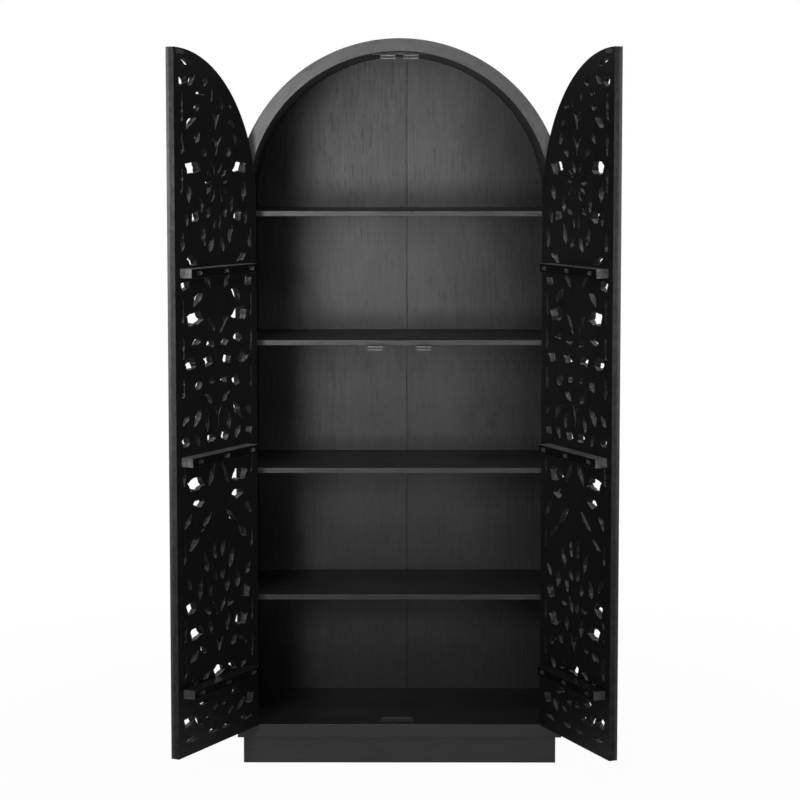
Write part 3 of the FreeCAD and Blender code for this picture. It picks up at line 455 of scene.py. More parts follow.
def piece(name, mesh, body, finish, slot, *replaced):
    """A finished mesh as a piece that rides on a body, in place of the CAD nodes it stands for."""
    mesh.name = name
    mesh.materials.clear()
    mesh.materials.append(finish)
    made = put(name, mesh)
    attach(made, body)
    if replaced:
        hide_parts(*replaced)


def merged_copy(name, place):
    """A CAD node's shape in a frame of its own, its loose triangles joined."""
    shape = bmesh.new()
    shape.from_mesh(nodes[name].data)
    bmesh.ops.transform(shape, matrix=place.inverted(), verts=shape.verts)
    bmesh.ops.remove_doubles(shape, verts=shape.verts, dist=1e-5)
    return shape


def set_in_place(shape, place):
    """Turns a shape from a frame of its own to the cabinet's, its faces still outwards."""
    bmesh.ops.transform(shape, matrix=place, verts=shape.verts)
    if place.determinant() < 0:
        bmesh.ops.reverse_faces(shape, faces=shape.faces)


def smooth_mesh(shape, angle=35, eased=()):
    """A mesh of the shape; its smooth faces meet sharply past the angle and where an eased edge ends."""
    for edge in shape.edges:
        bent = edge.calc_face_angle(0) > math.radians(angle)
        rounded = [face in eased for face in edge.link_faces]
        edge.smooth = all(rounded) if any(rounded) else not bent
    mesh = bpy.data.meshes.new("shape")
    shape.to_mesh(mesh)
    shape.free()
    if "custom_normal" in mesh.attributes:
        mesh.attributes.remove(mesh.attributes["custom_normal"])
    return mesh


# Boards with eased edges

EASE = 0.0012
EASE_WORN_SHARE = 0.2
# A batten's ends and screw seats are lighter: raw wood, and on the ends partly painted light
BATTEN_WEAR_AND_LIGHT_SHARES = {"left": 0.85, "right": 0.85, "seat": 0.6}
# Painted light on a batten's top: full on the middle and high battens, little on the low one
BATTEN_TOP_PAINTED_LIGHT_SHARES = {"low": 0.1, "mid": 1, "high": 1}
BOX_SIDES = {
    "left": (0, 0), "right": (0, 1), "front": (1, 0), "back": (1, 1), "foot": (2, 0), "top": (2, 1),
}
UNTURNED = Matrix()


def eased_board(name, free, hidden, body="carcass", slot="stained_wood", place=UNTURNED, arched=False,
                wear_and_light_shares=None, edge_worn_share=EASE_WORN_SHARE):
    """A board with its edges eased on the free sides, apart from those against others, for its CAD node."""
    shape = merged_copy(name, place)
    bmesh.ops.dissolve_limit(shape, angle_limit=math.radians(0.4), verts=shape.verts, edges=shape.edges)
    wear_and_light = shape.faces.layers.float.new("wear_and_light")
    ends = [(min(point.co[axis] for point in shape.verts), max(point.co[axis] for point in shape.verts))
            for axis in range(3)]

    def sides_of(points):
        met = set(BOX_SIDES)
        for side, (axis, end) in BOX_SIDES.items():
            if any(abs(point.co[axis] - ends[axis][end]) > 1e-5 for point in points):
                met.discard(side)
        return met

    edges = []
    for edge in shape.edges:
        met = sides_of(edge.verts)
        if met.intersection(free) and not met.intersection(hidden) and (arched or len(met) == 2):
            if edge.calc_face_angle(0) > math.radians(60):
                edges.append(edge)
    for face in shape.faces:
        face.smooth = arched and abs(face.normal.y) < 0.5
        # A face's share of lighter tone: rubbed wear, and painted light on a batten's top and partly its
        # ends
        if wear_and_light_shares:
            met = sides_of(face.verts) or {"seat"}
            face[wear_and_light] = max(wear_and_light_shares.get(side, 0) for side in met)
    made = bmesh.ops.bevel(
        shape, geom=edges, offset=EASE, offset_type="OFFSET", segments=2, profile=0.5, affect="EDGES",
        clamp_overlap=True, loop_slide=False,
    )
    for face in made["faces"]:
        face[wear_and_light] = max(face[wear_and_light], edge_worn_share)
        face.smooth = True
    # A copy in a mirrored frame is mirrored back here, so its faces are outwards again
    bmesh.ops.transform(shape, matrix=place, verts=shape.verts)
    finish = nodes[name].data.materials[0]
    piece(f"{name}_eased", smooth_mesh(shape, 35, set(made["faces"])), body, finish, slot, name)


for name, free, hidden in (
    ("side_panel_left", ("front", "back"), ("foot", "top")),
    ("side_panel_right", ("front", "back"), ("foot", "top")),
    ("bottom_board", ("front", "back", "left", "right"), ()),
    *((f"shelf_{index}", ("front",), ("left", "right")) for index in range(1, 5)),
    ("plinth_front", ("front",), ("top",)),
    ("plinth_back", ("back",), ("top",)),
    ("plinth_side_left", ("left",), ("top",)),
    ("plinth_side_right", ("right",), ("top",)),
    ("door_stop", ("front",), ("left", "right")),
):
    eased_board(name, free, hidden)
eased_board("back_board_left", ("right",), ("foot",), edge_worn_share=0)
eased_board("back_board_right", ("left",), ("foot",), edge_worn_share=0)
eased_board("arch_top", ("front", "back"), ("foot",), arched=True)
for side in SIDES:
    # The top of each batten gets painted light, more on the higher battens
    for level, top_light_share in BATTEN_TOP_PAINTED_LIGHT_SHARES.items():
        eased_board(
            f"{side}_batten_{level}", ("back", "left", "right"), ("front",), f"{side}_door", "batten_wood",
            DOOR_PLACES[side], wear_and_light_shares={**BATTEN_WEAR_AND_LIGHT_SHARES, "top": top_light_share},
        )


# Doors: panels pierced by hand, and the carving on their outer faces

BORDER = 0.026
RIM_EASE = 0.0006
CHISEL_STEP = 0.004
CHISEL_SEED = 11
CUT_MARGIN = 0.0015
ARC_STEPS = 52
SAME_PLACE = 1e-5
STRAY_FADE = 0.018
STRAYS = ((42, 0.0075), (105, 0.0026))
DOOR_HEIGHT = DOOR_SPRING + DOOR_RADIUS
WALL_DEPTH_SHARES = (0, 0.035, 0.35, 0.68, 0.965, 1)
WALL_WORN_SHARE = 0.1
# Walls of openings that face up get more of the lighter tone: painted light falling on them
UPWARD_PAINTED_LIGHT_SHARE = 0.9
# A door's outer edges get a lighter tone: partly rubbed wear, partly painted light on the lit edges
DOOR_EDGE_WEAR_AND_LIGHT_SHARE = 0.2
FLOWER_UP_SHARES = (0.813, 0.545, 0.215)
FLOWERS = [Vector((DOOR_MIDDLE, 0, share * DOOR_HEIGHT)) for share in FLOWER_UP_SHARES]


def border_distance(place):
    """How far a place of a door's field lies inside the border."""
    reach = DOOR_RADIUS - math.hypot(place.x - DOOR_ARCH_CENTRE, max(place.z - DOOR_SPRING, 0))
    return min(reach, DOOR_FREE_EDGE - place.x, place.z) - BORDER


seed_set(CHISEL_SEED)


def hand_cut(place, side):
    """A place of the field moved a little, as a chisel held by hand strays; the border stays true."""
    share = min(max(border_distance(place) / STRAY_FADE, 0), 1)
    at = place + Vector((0, 0, 5 * SIDES[side]))
    drift = sum((noise_vector(at * often) * far for often, far in STRAYS), Vector())
    moved = place + Vector((drift.x, 0, drift.z)) * share
    moved.x = min(moved.x, DOOR_FREE_EDGE - BORDER - CUT_MARGIN)
    moved.z = max(moved.z, BORDER + CUT_MARGIN)
    centre = Vector((DOOR_ARCH_CENTRE, moved.y, min(moved.z, DOOR_SPRING)))
    reach = moved - centre
    farthest = DOOR_RADIUS - BORDER - CUT_MARGIN
    return centre + reach * min(1, farthest / reach.length)


def lies_at(thing, depth):
    """Whether all corners of a face or an edge are at a depth of the door."""
    return all(abs(corner.co.y - depth) < SAME_PLACE for corner in thing.verts)


def lies_inwards(face):
    """Whether a face is on the field's side of the border's middle line."""
    return all(border_distance(corner.co) > -BORDER / 2 for corner in face.verts)


def goes_through(face):
    """Whether a face is the wall of an opening, from the field or the border to the inner face."""
    depths = [corner.co.y for corner in face.verts]
    return min(depths) < DOOR_FIELD + SAME_PLACE and max(depths) > DOOR_INSIDE - SAME_PLACE


def chained(edges):
    """Rings of points, each in order, from the edges that join them."""
    neighbours = {}
    for edge in edges:
        first, second = edge.verts
        neighbours.setdefault(first, []).append(second)
        neighbours.setdefault(second, []).append(first)
    rings = []
    while neighbours:
        point = next(iter(neighbours))
        ring = []
        while point in neighbours:
            ring.append(point)
            onward = [other for other in neighbours.pop(point) if other in neighbours]
            point = onward[0] if onward else None
        rings.append(ring)
    return rings


def door_edges(side):
    """A door's edges in its own frame, and the outlines of its openings."""
    shape = merged_copy(f"{side}_door_panel", DOOR_PLACES[side])
    front = {face for face in shape.faces if lies_at(face, DOOR_FACE)}
    inside = {face for face in shape.faces if lies_at(face, DOOR_INSIDE)}
    inwards = {face for face in shape.faces if lies_inwards(face)}
    walls = [face for face in shape.faces if face in inwards and goes_through(face)]
    rims = [edge for face in walls for edge in face.edges if inside.intersection(edge.link_faces)]
    rings = [[point.co.copy() for point in ring] for ring in chained(rims)]
    met = front.union(inside, inwards)
    kept = set()
    reached = list(front)
    while reached:
        for edge in reached.pop().edges:
            for face in edge.link_faces:
                if face not in met:
                    met.add(face)
                    kept.add(face)
                    reached.append(face)
    spare = [face for face in shape.faces if face not in kept]
    bmesh.ops.delete(shape, geom=spare, context="FACES")
    return shape, rings


def border_ring(shape, depth):
    """Points in order round the inner line of a door's border."""
    radius = DOOR_RADIUS - BORDER
    free = DOOR_FREE_EDGE - BORDER
    last = math.acos((DOOR_ARCH_CENTRE - free) / radius)
    places = [(DOOR_ARCH_CENTRE - radius, BORDER)]
    for index in range(ARC_STEPS + 1):
        turn = last * index / ARC_STEPS
        places.append((DOOR_ARCH_CENTRE - radius * math.cos(turn), DOOR_SPRING + radius * math.sin(turn)))
    places.append((free, BORDER))
    return [shape.verts.new((x, depth, z)) for x, z in places]


def pairs(ring):
    """Each point of a ring with the next one."""
    return zip(ring, ring[1:] + ring[:1])


def stepped(ring):
    """A ring of points with no step longer than a chisel's."""
    points = []
    for first, second in pairs(ring):
        parts = max(1, math.ceil((second - first).length / CHISEL_STEP))
        points.extend(first.lerp(second, index / parts) for index in range(parts))
    return points


def widened(ring, width):
    """A ring of points drawn outwards by the width."""
    around = list(zip(ring[-1:] + ring[:-1], ring, ring[1:] + ring[:1]))
    area = sum(point.x * after.z - after.x * point.z for before, point, after in around)
    points = []
    for before, point, after in around:
        along = after - before
        outwards = Vector((along.z, 0, -along.x)).normalized()
        points.append(point + outwards * math.copysign(width, area))
    return points


def bridged(shape, first, second):
    """Faces from one ring to another with as many points."""
    around = zip(pairs(first), pairs(second))
    return [shape.faces.new((start, after, above, back)) for (start, after), (back, above) in around]


def opening_wall(shape, ring, side, wear_and_light):
    """Makes the wall of one opening, its rims eased, and gives its two rims."""
    middle = sum(ring, Vector()) / len(ring)
    rows = []
    for share in WALL_DEPTH_SHARES:
        depth = DOOR_FIELD + share * (DOOR_INSIDE - DOOR_FIELD)
        row = widened(ring, RIM_EASE) if share in (0, 1) else ring
        row = [Vector((point.x, depth, point.z)) for point in row]
        rows.append([shape.verts.new(hand_cut(point, side)) for point in row])
    for first, second in zip(rows, rows[1:]):
        for face in bridged(shape, first, second):
            face.normal_update()
            rise = (DOOR_PLACES[side].to_3x3() @ face.normal).z
            inside = face.normal.dot(face.calc_center_median() - middle)
            upward = max(0, -rise if inside > 0 else rise)
            # Raw cut walls, with painted light on those that face up
            face[wear_and_light] = WALL_WORN_SHARE + UPWARD_PAINTED_LIGHT_SHARE * upward
            face.smooth = True
    return rows[0], rows[-1]


def is_within(place, ring):
    """Whether a place lies inside a ring of points, seen along the door's depth."""
    crossed = False
    for first, second in pairs(ring):
        if (first.z > place.z) != (second.z > place.z):
            share = (place.z - first.z) / (second.z - first.z)
            crossed ^= place.x < first.x + share * (second.x - first.x)
    return crossed


def fill_between(shape, rings):
    """Faces in the plane of the first ring, with the rings inside it left open."""
    points = [point for ring in rings for point in ring]
    owners = [number for number, ring in enumerate(rings) for point in ring]
    edges = []
    start = 0
    for ring in rings:
        edges.extend((start + index, start + (index + 1) % len(ring)) for index in range(len(ring)))
        start += len(ring)
    flat = [Vector((point.co.x, point.co.z)) for point in points]
    places, _, faces, sources, _, _ = delaunay_2d_cdt(flat, edges, [], 1, 1e-7)
    corners = []
    for place, source in zip(places, sources):
        if source:
            corners.append((points[source[0]], owners[source[0]]))
        else:
            crossing = shape.verts.new((place.x, points[0].co.y, place.y))
            corners.append((crossing, None))
    for face in faces:
        met = {corners[corner][1] for corner in face} - {None}
        if len(met) == 1 and 0 not in met:
            middle = sum((corners[corner][0].co for corner in face), Vector()) / len(face)
            if is_within(middle, [point.co for point in rings[met.pop()]]):
                continue
        shape.faces.new([corners[corner][0] for corner in face])


def door_panel(side):
    """A door panel with its openings cut by hand; gives their true outlines."""
    shape, rings = door_edges(side)
    wear_and_light = shape.faces.layers.float.new("wear_and_light")
    # Lighter tone on the door's outer edges: partly rubbed wear, partly painted light
    for face in shape.faces:
        face[wear_and_light] = DOOR_EDGE_WEAR_AND_LIGHT_SHARE
    edges = [edge for edge in shape.edges if edge.is_boundary]
    front_rings = chained([edge for edge in edges if lies_at(edge, DOOR_FACE)])
    inner_rings = chained([edge for edge in edges if lies_at(edge, DOOR_INSIDE)])
    brink = border_ring(shape, DOOR_FACE)
    brink_foot = border_ring(shape, DOOR_FIELD)
    bridged(shape, brink, brink_foot)
    front_rings.append(brink)
    field_rings = [brink_foot]
    for ring in rings:
        low, high = opening_wall(shape, stepped(ring), side, wear_and_light)
        field_rings.append(low)
        inner_rings.append(high)
    for rings_of_plane in (front_rings, inner_rings, field_rings):
        fill_between(shape, rings_of_plane)
    set_in_place(shape, DOOR_PLACES[side])
    bmesh.ops.recalc_face_normals(shape, faces=shape.faces)
    name = f"{side}_door_panel"
    piece(f"{name}_cut", smooth_mesh(shape), f"{side}_door", CARVED[side], "carved_wood", name)
    return rings


def named(tree, name, kind):
    """A point's own value, by the name it is kept under."""
    node = add(tree, "GeometryNodeInputNamedAttribute", {"Name": name}, data_type=kind)
    return node.outputs["Attribute"]


def dressed(tree, stamps, finish, spots=None):
    """Stamped copies as one mesh, moved to the spots if given, with its finish."""
    mesh = first_of(tree, "GeometryNodeRealizeInstances", {"Geometry": stamps})
    if spots:
        mesh = first_of(tree, "GeometryNodeSetPosition", {"Geometry": mesh, "Position": spots})
    return first_of(tree, "GeometryNodeSetMaterial", {"Geometry": mesh, "Material": finish})


def make_leaf_tree():
    """Geometry nodes that set a leaf on each point, by the point's own turn, size and bend."""
    inputs = (("Rows", "Int", 8), ("Columns", "Int", 7), ("Sunk", "Float", 0.0004))
    tree, given = shape_group("carved_leaves", inputs, "Leaves")
    inputs = {"Size X": 1.0, "Size Y": 2.0, "Vertices X": given["Rows"], "Vertices Y": given["Columns"]}
    blank = first_of(tree, "GeometryNodeMeshGrid", inputs)
    inputs = {0: first_of(tree, "GeometryNodeInputPosition"), 1: (0.5, 0, 1)}
    shift = first_of(tree, "ShaderNodeVectorMath", inputs, operation="ADD")
    inputs = {"Name": "leaf", "Geometry": blank, "Value": shift}
    mark = first_of(tree, "GeometryNodeStoreNamedAttribute", inputs, data_type="FLOAT_VECTOR")
    stamps = first_of(tree, "GeometryNodeInstanceOnPoints", {"Points": given["Points"], "Instance": mark})

    leaf = parted(tree, named(tree, "leaf", "FLOAT_VECTOR"))
    size = parted(tree, named(tree, "size", "FLOAT_VECTOR"))
    middle = maths(tree, "SUBTRACT", leaf["X"], 0.5)
    left = maths(tree, "SUBTRACT", 1.0, leaf["X"])
    taper = maths(tree, "MULTIPLY", maths(tree, "MULTIPLY", maths(tree, "SQRT", leaf["X"]), left), 2.6)
    edge = maths(tree, "ABSOLUTE", leaf["Y"])
    crown = maths(tree, "SUBTRACT", 1.0, maths(tree, "POWER", edge, 2.6))
    groove = maths(tree, "SUBTRACT", 1.0, maths(tree, "MULTIPLY", edge, 3.4), clamp=True)
    crown = maths(tree, "SUBTRACT", crown, maths(tree, "MULTIPLY", groove, 0.42))
    crown = maths(tree, "MULTIPLY", crown, maths(tree, "SQRT", maths(tree, "MINIMUM", taper, 1.0)))
    rise = maths(tree, "SUBTRACT", maths(tree, "MULTIPLY", crown, size["Z"]), given["Sunk"])
    along = maths(tree, "MULTIPLY", middle, size["X"])
    curve = maths(tree, "MULTIPLY_ADD", maths(tree, "MULTIPLY", middle, middle), 2.0, -0.17)
    curve = maths(tree, "MULTIPLY", curve, maths(tree, "MULTIPLY", size["X"], named(tree, "bend", "FLOAT")))
    half = maths(tree, "MULTIPLY", maths(tree, "MULTIPLY", leaf["Y"], taper), size["Y"])
    aside = maths(tree, "MULTIPLY_ADD", half, 0.5, curve)
    local = joined(tree, along, maths(tree, "SUBTRACT", DOOR_FIELD, rise), aside)
    inputs = {"Vector": local, "Angle": maths(tree, "MULTIPLY", named(tree, "turn", "FLOAT"), -1.0)}
    turned = first_of(tree, "ShaderNodeVectorRotate", inputs, rotation_type="Y_AXIS")
    inputs = {0: turned, 1: named(tree, "spot", "FLOAT_VECTOR")}
    placed = first_of(tree, "ShaderNodeVectorMath", inputs, operation="ADD")
    add(tree, "NodeGroupOutput", {"Leaves": dressed(tree, stamps, given["Finish"], placed)})
    return tree


def grown(tree, seeds, values):
    """The plain mesh that a tree of geometry nodes makes of the seed mesh, with its named inputs set."""
    holder = put("seeds", seeds)
    modifier = holder.modifiers.new("growth", "NODES")
    modifier.node_group = tree
    for item in tree.interface.items_tree:
        if item.in_out == "INPUT" and item.name in values:
            modifier[item.identifier] = values[item.name]
    bpy.context.view_layer.update()
    seen = holder.evaluated_get(bpy.context.evaluated_depsgraph_get())
    mesh = bpy.data.meshes.new_from_object(seen)
    holder.modifiers.clear()
    bpy.data.objects.remove(holder)
    return mesh


def seed_mesh(rows, columns):
    """Points with values of their own: each row gives a place, and then a value for each named column."""
    seeds = bpy.data.meshes.new("seeds")
    seeds.from_pydata([row[0] for row in rows], [], [])
    for number, (name, kind) in enumerate(columns, 1):
        layer = seeds.attributes.new(name, kind, "POINT")
        for item, row in zip(layer.data, rows):
            if kind == "FLOAT":
                item.value = row[number]
            else:
                item.vector = row[number]
    return seeds


def smooth_shape(mesh):
    """An editable shape of a mesh, with all its faces smooth."""
    shape = bmesh.new()
    shape.from_mesh(mesh)
    for face in shape.faces:
        face.smooth = True
    return shape


def ground_room(rings):
    """A function for how far a place is from the nearest opening or border, below 0 off the ground."""
    points = [point for ring in rings for point in stepped(ring)]
    tree = KDTree(len(points))
    for index, point in enumerate(points):
        tree.insert((point.x, 0, point.z), index)
    tree.balance()
    boxes = []
    for ring in rings:
        xs = [point.x for point in ring]
        zs = [point.z for point in ring]
        boxes.append((min(xs), max(xs), min(zs), max(zs), ring))

    def room(place):
        near = tree.find((place.x, 0, place.z))[2]
        for left, right, low, high, ring in boxes:
            if left < place.x < right and low < place.z < high and is_within(place, ring):
                return -near
        return min(near, border_distance(place))

    return room


def leaf_point(leaf, along, aside):
    """A place on a leaf of the carving: along from 0 to 1, aside from -1 to 1."""
    spot, turn, size, bend = leaf
    taper = 2.6 * math.sqrt(along) * (1 - along)
    x = (along - 0.5) * size.x
    z = aside * taper * size.y / 2 + bend * size.x * (2 * (along - 0.5) ** 2 - 0.17)
    across = Vector((math.cos(turn), 0, math.sin(turn)))
    return spot + across * x + Vector((-across.z, 0, across.x)) * z


def outwards_turn(place):
    """The direction in which leaves grow at a place: away from the nearest flower, swept to the side."""
    flower = min(FLOWERS, key=lambda middle: (middle - place).length)
    away = place - flower
    sweep = math.radians(28) * (1 if away.x > 0 else -1)
    return math.atan2(away.z, away.x) + sweep


LEAF_DISC_SHARES = ((0.12, 0.3), (0.33, 0.46), (0.58, 0.4), (0.82, 0.2))
RIM_ALONG_SHARES = (0.02, 0.2, 0.4, 0.65, 0.97)
SIDE_LEAF_SHARES = (1.35, 1.1, 0.9, 0.7, 0.5)
GROUND_LEAVES = (0.052, 0.04, 0.03, 0.022, 0.016)
GROUND_PITCH = 0.011
LEAF_GAP = 0.0012
CELL = 0.03


def held(value, low, high):
    return min(max(value, low), high)


def leaf_places(rings):
    """Leaves of one door: along both sides of the openings, then smaller ones over the bare ground."""
    room = ground_room(rings)
    leaves = []
    taken = {}

    def cell(place):
        return math.floor(place.x / CELL), math.floor(place.z / CELL)

    def is_free(discs):
        for place, radius in discs:
            column, row = cell(place)
            for near in range(9):
                for other, reach in taken.get((column + near % 3 - 1, row + near // 3 - 1), ()):
                    if (place - other).length < 0.85 * (radius + reach):
                        return False
        return True

    def try_leaf(spot, turn, length, width, bend):
        leaf = (spot, turn, Vector((length, width, held(0.13 * length, 0.0028, 0.0056))), bend)
        rim = [leaf_point(leaf, along, aside) for along in RIM_ALONG_SHARES for aside in (-1, 1)]
        if any(room(place) < LEAF_GAP for place in rim + [spot]):
            return False
        discs = [(leaf_point(leaf, along, 0), width * share) for along, share in LEAF_DISC_SHARES]
        if not is_free(discs):
            return False
        for place, radius in discs:
            taken.setdefault(cell(place), []).append((place, radius))
        leaves.append(leaf)
        return True

    for flower in FLOWERS:
        taken.setdefault(cell(flower), []).append((flower, held(room(flower), 0.004, 0.02)))
    for ring in sorted(rings, key=len):
        middle = sum((Vector((point.x, 0, point.z)) for point in ring), Vector()) / len(ring)
        spans = [Vector((point.x, 0, point.z)) - middle for point in ring]
        skew = sum(2 * span.x * span.z for span in spans)
        tilt = 0.5 * math.atan2(skew, sum(span.x * span.x - span.z * span.z for span in spans))
        axis = Vector((math.cos(tilt), 0, math.sin(tilt)))
        normal = Vector((-axis.z, 0, axis.x))
        length = 2 * max(abs(span.dot(axis)) for span in spans)
        breadth = max(abs(span.dot(normal)) for span in spans)
        lead = outwards_turn(middle)
        forward = 1 if axis.dot(Vector((math.cos(lead), 0, math.sin(lead)))) >= 0 else -1
        turn = tilt if forward > 0 else tilt + math.pi
        for sign in (1, -1):
            for share in SIDE_LEAF_SHARES:
                long = held(length * share, 0.018, 0.085)
                wide = held(0.36 * long, 0.009, 0.023)
                spot = middle + normal * sign * (breadth + 0.5 * wide + 0.0015)
                if try_leaf(spot, turn, long, wide, -0.28 * sign * forward):
                    break
    for long in GROUND_LEAVES:
        for row in range(int(DOOR_HEIGHT / GROUND_PITCH)):
            for column in range(int(DOOR_MIDDLE / GROUND_PITCH)):
                for sign in (1, -1):
                    aside = sign * (column + 0.5) * GROUND_PITCH
                    spot = Vector((DOOR_MIDDLE + aside, 0, (row + 0.5 * (column % 2)) * GROUND_PITCH))
                    if border_distance(spot) > 0.004:
                        try_leaf(spot, outwards_turn(spot), long, 0.4 * long, 0.2 * sign)
    return leaves


LEAF_TREE = make_leaf_tree()


def carving(side, leaves):
    """The leaves of a door as one mesh on its outer face."""
    columns = (("spot", "FLOAT_VECTOR"), ("turn", "FLOAT"), ("size", "FLOAT_VECTOR"), ("bend", "FLOAT"))
    rows = [(leaf[0], *leaf) for leaf in leaves]
    mesh = grown(LEAF_TREE, seed_mesh(rows, columns), {"Finish": CARVED[side]})
    for name, kind in columns:
        mesh.attributes.remove(mesh.attributes[name])
    shape = smooth_shape(mesh)
    bmesh.ops.remove_doubles(shape, verts=shape.verts, dist=1e-6)
    for point in shape.verts:
        point.co = hand_cut(point.co, side)
    shape.normal_update()
    bmesh.ops.reverse_faces(shape, faces=[face for face in shape.faces if face.normal.y > 0])
    set_in_place(shape, DOOR_PLACES[side])
    piece(f"{side}_carving", smooth_mesh(shape, 60), f"{side}_door", CARVED[side], "carved_wood")


OPENINGS = {side: door_panel(side) for side in SIDES}
LEAVES = leaf_places(OPENINGS["left"])
for side in SIDES:
    carving(side, LEAVES)


# Screw heads

def make_screw_tree():
    """Geometry nodes that set a cross-cut head on each point, in the way it faces, at a turn of its own."""
    inputs = (("Rise", "Float", 0.24), ("Recess", "Float", 0.2), ("Seed", "Int", 4))
    tree, given = shape_group("screw_heads", inputs, "Heads")
    inputs = {"Size X": 2.0, "Size Y": 2.0, "Vertices X": 9, "Vertices Y": 9}
    blank = first_of(tree, "GeometryNodeMeshGrid", inputs)
    flat = parted(tree, first_of(tree, "GeometryNodeInputPosition"))

    def rounded(first, second):
        half = maths(tree, "MULTIPLY", maths(tree, "MULTIPLY", second, second), -0.5)
        return maths(tree, "MULTIPLY", first, maths(tree, "SQRT", maths(tree, "ADD", half, 1.0)))

    x = rounded(flat["X"], flat["Y"])
    y = rounded(flat["Y"], flat["X"])
    reach = maths(tree, "MULTIPLY_ADD", x, x, maths(tree, "MULTIPLY", y, y))
    across = maths(tree, "ABSOLUTE", flat["X"])
    upright = maths(tree, "ABSOLUTE", flat["Y"])
    slim = spread(tree, maths(tree, "MINIMUM", across, upright), 0.0, 0.25, 1.0, 0.0)
    short = spread(tree, maths(tree, "MAXIMUM", across, upright), 0.5, 0.75, 1.0, 0.0)
    arm = maths(tree, "MULTIPLY", slim, short)
    rise = given["Rise"]
    crown = spread(tree, reach, 0.0, 0.9, rise, maths(tree, "MULTIPLY", rise, 0.5))
    crown = maths(tree, "SUBTRACT", crown, maths(tree, "MULTIPLY", arm, given["Recess"]))
    crown = maths(tree, "SUBTRACT", crown, spread(tree, reach, 0.93, 1.0, 0.0, 0.3))
    inputs = {"Geometry": blank, "Position": joined(tree, x, y, crown)}
    head = first_of(tree, "GeometryNodeSetPosition", inputs)
    inputs = {"Vector": named(tree, "facing", "FLOAT_VECTOR")}
    facing = first_of(tree, "FunctionNodeAlignRotationToVector", inputs, axis="Z")
    inputs = {3: math.pi / 2, "Seed": given["Seed"]}
    chance = add(tree, "FunctionNodeRandomValue", inputs, data_type="FLOAT")
    inputs = {"Axis": (0, 0, 1), "Angle": chance.outputs[1]}
    spin = first_of(tree, "FunctionNodeAxisAngleToRotation", inputs)
    inputs = {"Rotation": facing, "Rotate By": spin}
    turned = first_of(tree, "FunctionNodeRotateRotation", inputs, rotation_space="LOCAL")
    inputs = {"Points": given["Points"], "Instance": head, "Rotation": turned}
    inputs["Scale"] = named(tree, "size", "FLOAT_VECTOR")
    stamps = first_of(tree, "GeometryNodeInstanceOnPoints", inputs)
    add(tree, "NodeGroupOutput", {"Heads": dressed(tree, stamps, given["Finish"])})
    return tree


def screw_tops(name, facing):
    """The middle of each screw's head in a CAD node, with its facing and its radius."""
    shape = merged_copy(name, UNTURNED)
    tops = []
    left = dict.fromkeys(shape.verts)
    while left:
        found = [left.popitem()[0]]
        for point in found:
            for edge in point.link_edges:
                other = edge.other_vert(point)
                if other in left:
                    left.pop(other)
                    found.append(other)
        highest = max(point.co.dot(facing) for point in found)
        rim = [point.co for point in found if highest - point.co.dot(facing) < 1e-4]
        middle = sum(rim, Vector()) / len(rim)
        radius = max((place - middle).length for place in rim)
        if radius > 0.002:
            tops.append((middle, facing, Vector((radius, radius, radius))))
    shape.free()
    return tops


SCREW_TREE = make_screw_tree()


def screw_heads(name, body, facing, rise=0.24):
    """Cross-cut heads over the plain ones of a CAD node's screws."""
    columns = (("facing", "FLOAT_VECTOR"), ("size", "FLOAT_VECTOR"))
    seeds = seed_mesh(screw_tops(name, facing), columns)
    mesh = grown(SCREW_TREE, seeds, {"Rise": rise, "Recess": 0.8 * rise, "Finish": SCREW})
    piece(f"{name[:-1]}_heads", smooth_mesh(smooth_shape(mesh), 40), body, SCREW, "screw_steel")


screw_heads("back_screws", "carcass", Vector((0, 1, 0)))
screw_heads("catch_screws", "carcass", Vector((0, 0, -1)))
for side in SIDES:
    inwards = DOOR_PLACES[side].to_3x3() @ Vector((0, 1, 0))
    screw_heads(f"{side}_batten_screws", f"{side}_door", inwards)
    screw_heads(f"{side}_strike_screws", f"{side}_door", inwards, 0.1)


# Floor, light and camera

STUDIO_DIMNESS = 0.09


def white_to_camera(tree, gloss=1.0):
    """1 for rays of the camera and of glass, which see a white background, and gloss for glossy rays."""
    ray = add(tree, "ShaderNodeLightPath").outputs
    gloss = maths(tree, "MULTIPLY", ray["Is Glossy Ray"], gloss)
    seen = maths(tree, "MAXIMUM", ray["Is Camera Ray"], gloss)
    return maths(tree, "MAXIMUM", seen, ray["Is Transmission Ray"])


def make_world():
    """A white backdrop behind the cabinet and a dim studio in front of it."""
    world = bpy.data.worlds.new("studio")
    tree = emptied(world)
    seen = first_of(tree, "ShaderNodeBackground", {"Color": (1, 1, 1, 1)})
    lit = first_of(tree, "ShaderNodeBackground", {"Color": (0.97, 0.98, 1, 1), "Strength": STUDIO_DIMNESS})
    direction = parted(tree, add(tree, "ShaderNodeTexCoord").outputs["Generated"])
    behind = spread(tree, direction["Y"], 0.35, 0.95)
    choice = first_of(tree, "ShaderNodeMixShader", {"Fac": white_to_camera(tree, behind), 1: lit, 2: seen})
    add(tree, "ShaderNodeOutputWorld", {"Surface": choice})
    bpy.context.scene.world = world


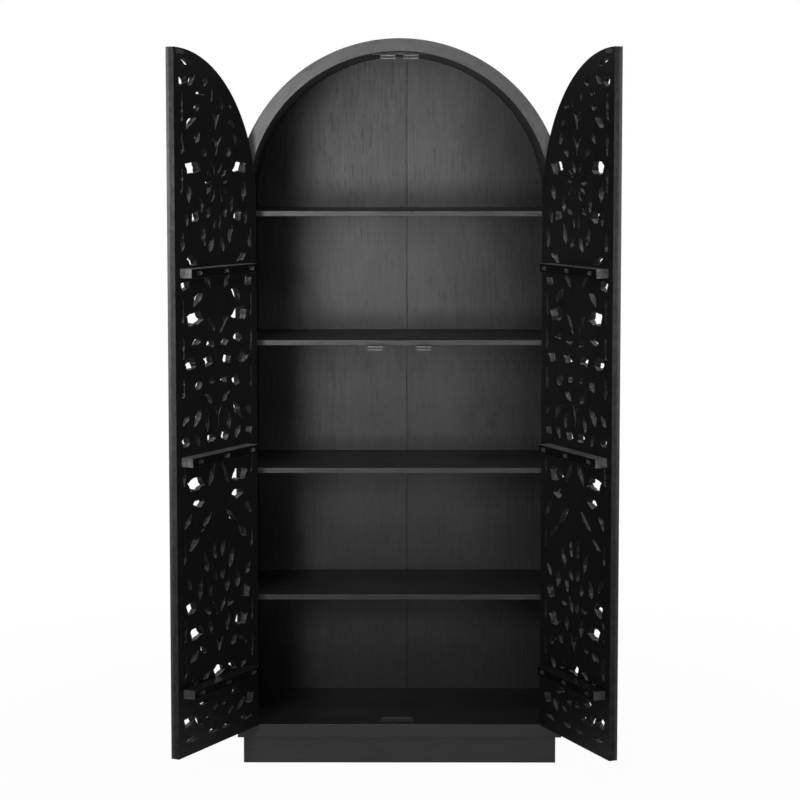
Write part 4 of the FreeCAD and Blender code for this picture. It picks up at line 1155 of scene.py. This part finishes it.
def make_floor():
    """A pale floor that fades into the white background and keeps the shadow near the cabinet."""
    mesh = bpy.data.meshes.new("floor")
    shape = bmesh.new()
    bmesh.ops.create_circle(shape, cap_ends=True, segments=96, radius=14)
    shape.to_mesh(mesh)
    shape.free()
    floor = put("floor", mesh)
    material = bpy.data.materials.new("pale_floor")
    tree = emptied(material)
    matt = first_of(tree, "ShaderNodeBsdfDiffuse", {"Color": (0.86, 0.86, 0.86, 1)})
    white = first_of(tree, "ShaderNodeEmission", {"Strength": 1.0})
    away = add(tree, "ShaderNodeVectorMath", {0: object_place(tree)}, operation="LENGTH")
    share = spread(tree, away.outputs["Value"], 0.7, 2.6, 0.972, 1.0)
    seen = maths(tree, "MULTIPLY", white_to_camera(tree, 0.4), share)
    choice = first_of(tree, "ShaderNodeMixShader", {"Fac": seen, 1: matt, 2: white})
    add(tree, "ShaderNodeOutputMaterial", {"Surface": choice})
    mesh.materials.append(material)


def lamp(kind, name, place, aim, power, **settings):
    """A light at a place, turned to its aim."""
    light = bpy.data.lights.new(name, kind)
    light.energy = power
    for setting, value in settings.items():
        setattr(light, setting, value)
    made = put(name, light)
    made.location = place
    made.rotation_euler = (Vector(aim) - Vector(place)).to_track_quat("-Z", "Y").to_euler()


def area_light(name, place, aim, size, power):
    lamp("AREA", name, place, aim, power, shape="RECTANGLE", size=size[0], size_y=size[1])


def soft_spot(name, place, aim, radius, cone, power):
    cone = math.radians(cone)
    lamp("SPOT", name, place, aim, power, shadow_soft_size=radius, spot_size=cone, spot_blend=1.0)


def make_camera():
    """The photograph's viewpoint: a long lens a little above the shelves' middle, tipped down."""
    camera = bpy.data.cameras.new("camera")
    camera.sensor_width = 36
    camera.lens = 103.43
    camera.shift_y = -0.075
    camera.dof.use_dof = False
    eye = put("camera", camera)
    eye.location = (0.0225, -7.2208, 1.907)
    eye.rotation_euler = (math.pi / 2 - 0.0842, 0, 0.003)
    bpy.context.scene.camera = eye


make_world()
make_floor()
soft_spot("key_high", (-2.0, -7.0, 2.4), (-0.25, 0, 1.8), 0.9, 20, 480)
soft_spot("key_foot", (-2.0, -7.0, 0.8), (-0.25, 0, 2.0), 0.9, 18, 1420)
soft_spot("key_low", (-2.0, -7.0, 3.0), (-0.25, 0, 0.75), 0.9, 19, 850)
soft_spot("fill", (1.1, -7.0, 1.7), (0.35, 0, 1.5), 0.9, 18, 290)
area_light("front_high", (-0.3, -4.6, 4.3), (0, -0.25, 1.6), (1.8, 0.9), 34)
area_light("overhead", (-0.2, -1.5, 3.5), (0, -0.6, 1.2), (1.8, 0.6), 12)
soft_spot("left_strip", (-5.0, -3.0, 2.2), (-0.62, -0.5, 1.4), 0.6, 24, 600)
soft_spot("right_strip", (5.0, -3.0, 2.2), (0.6, -0.5, 1.4), 0.6, 24, 480)
make_camera()
bpy.context.scene.view_settings.view_transform = "Standard"
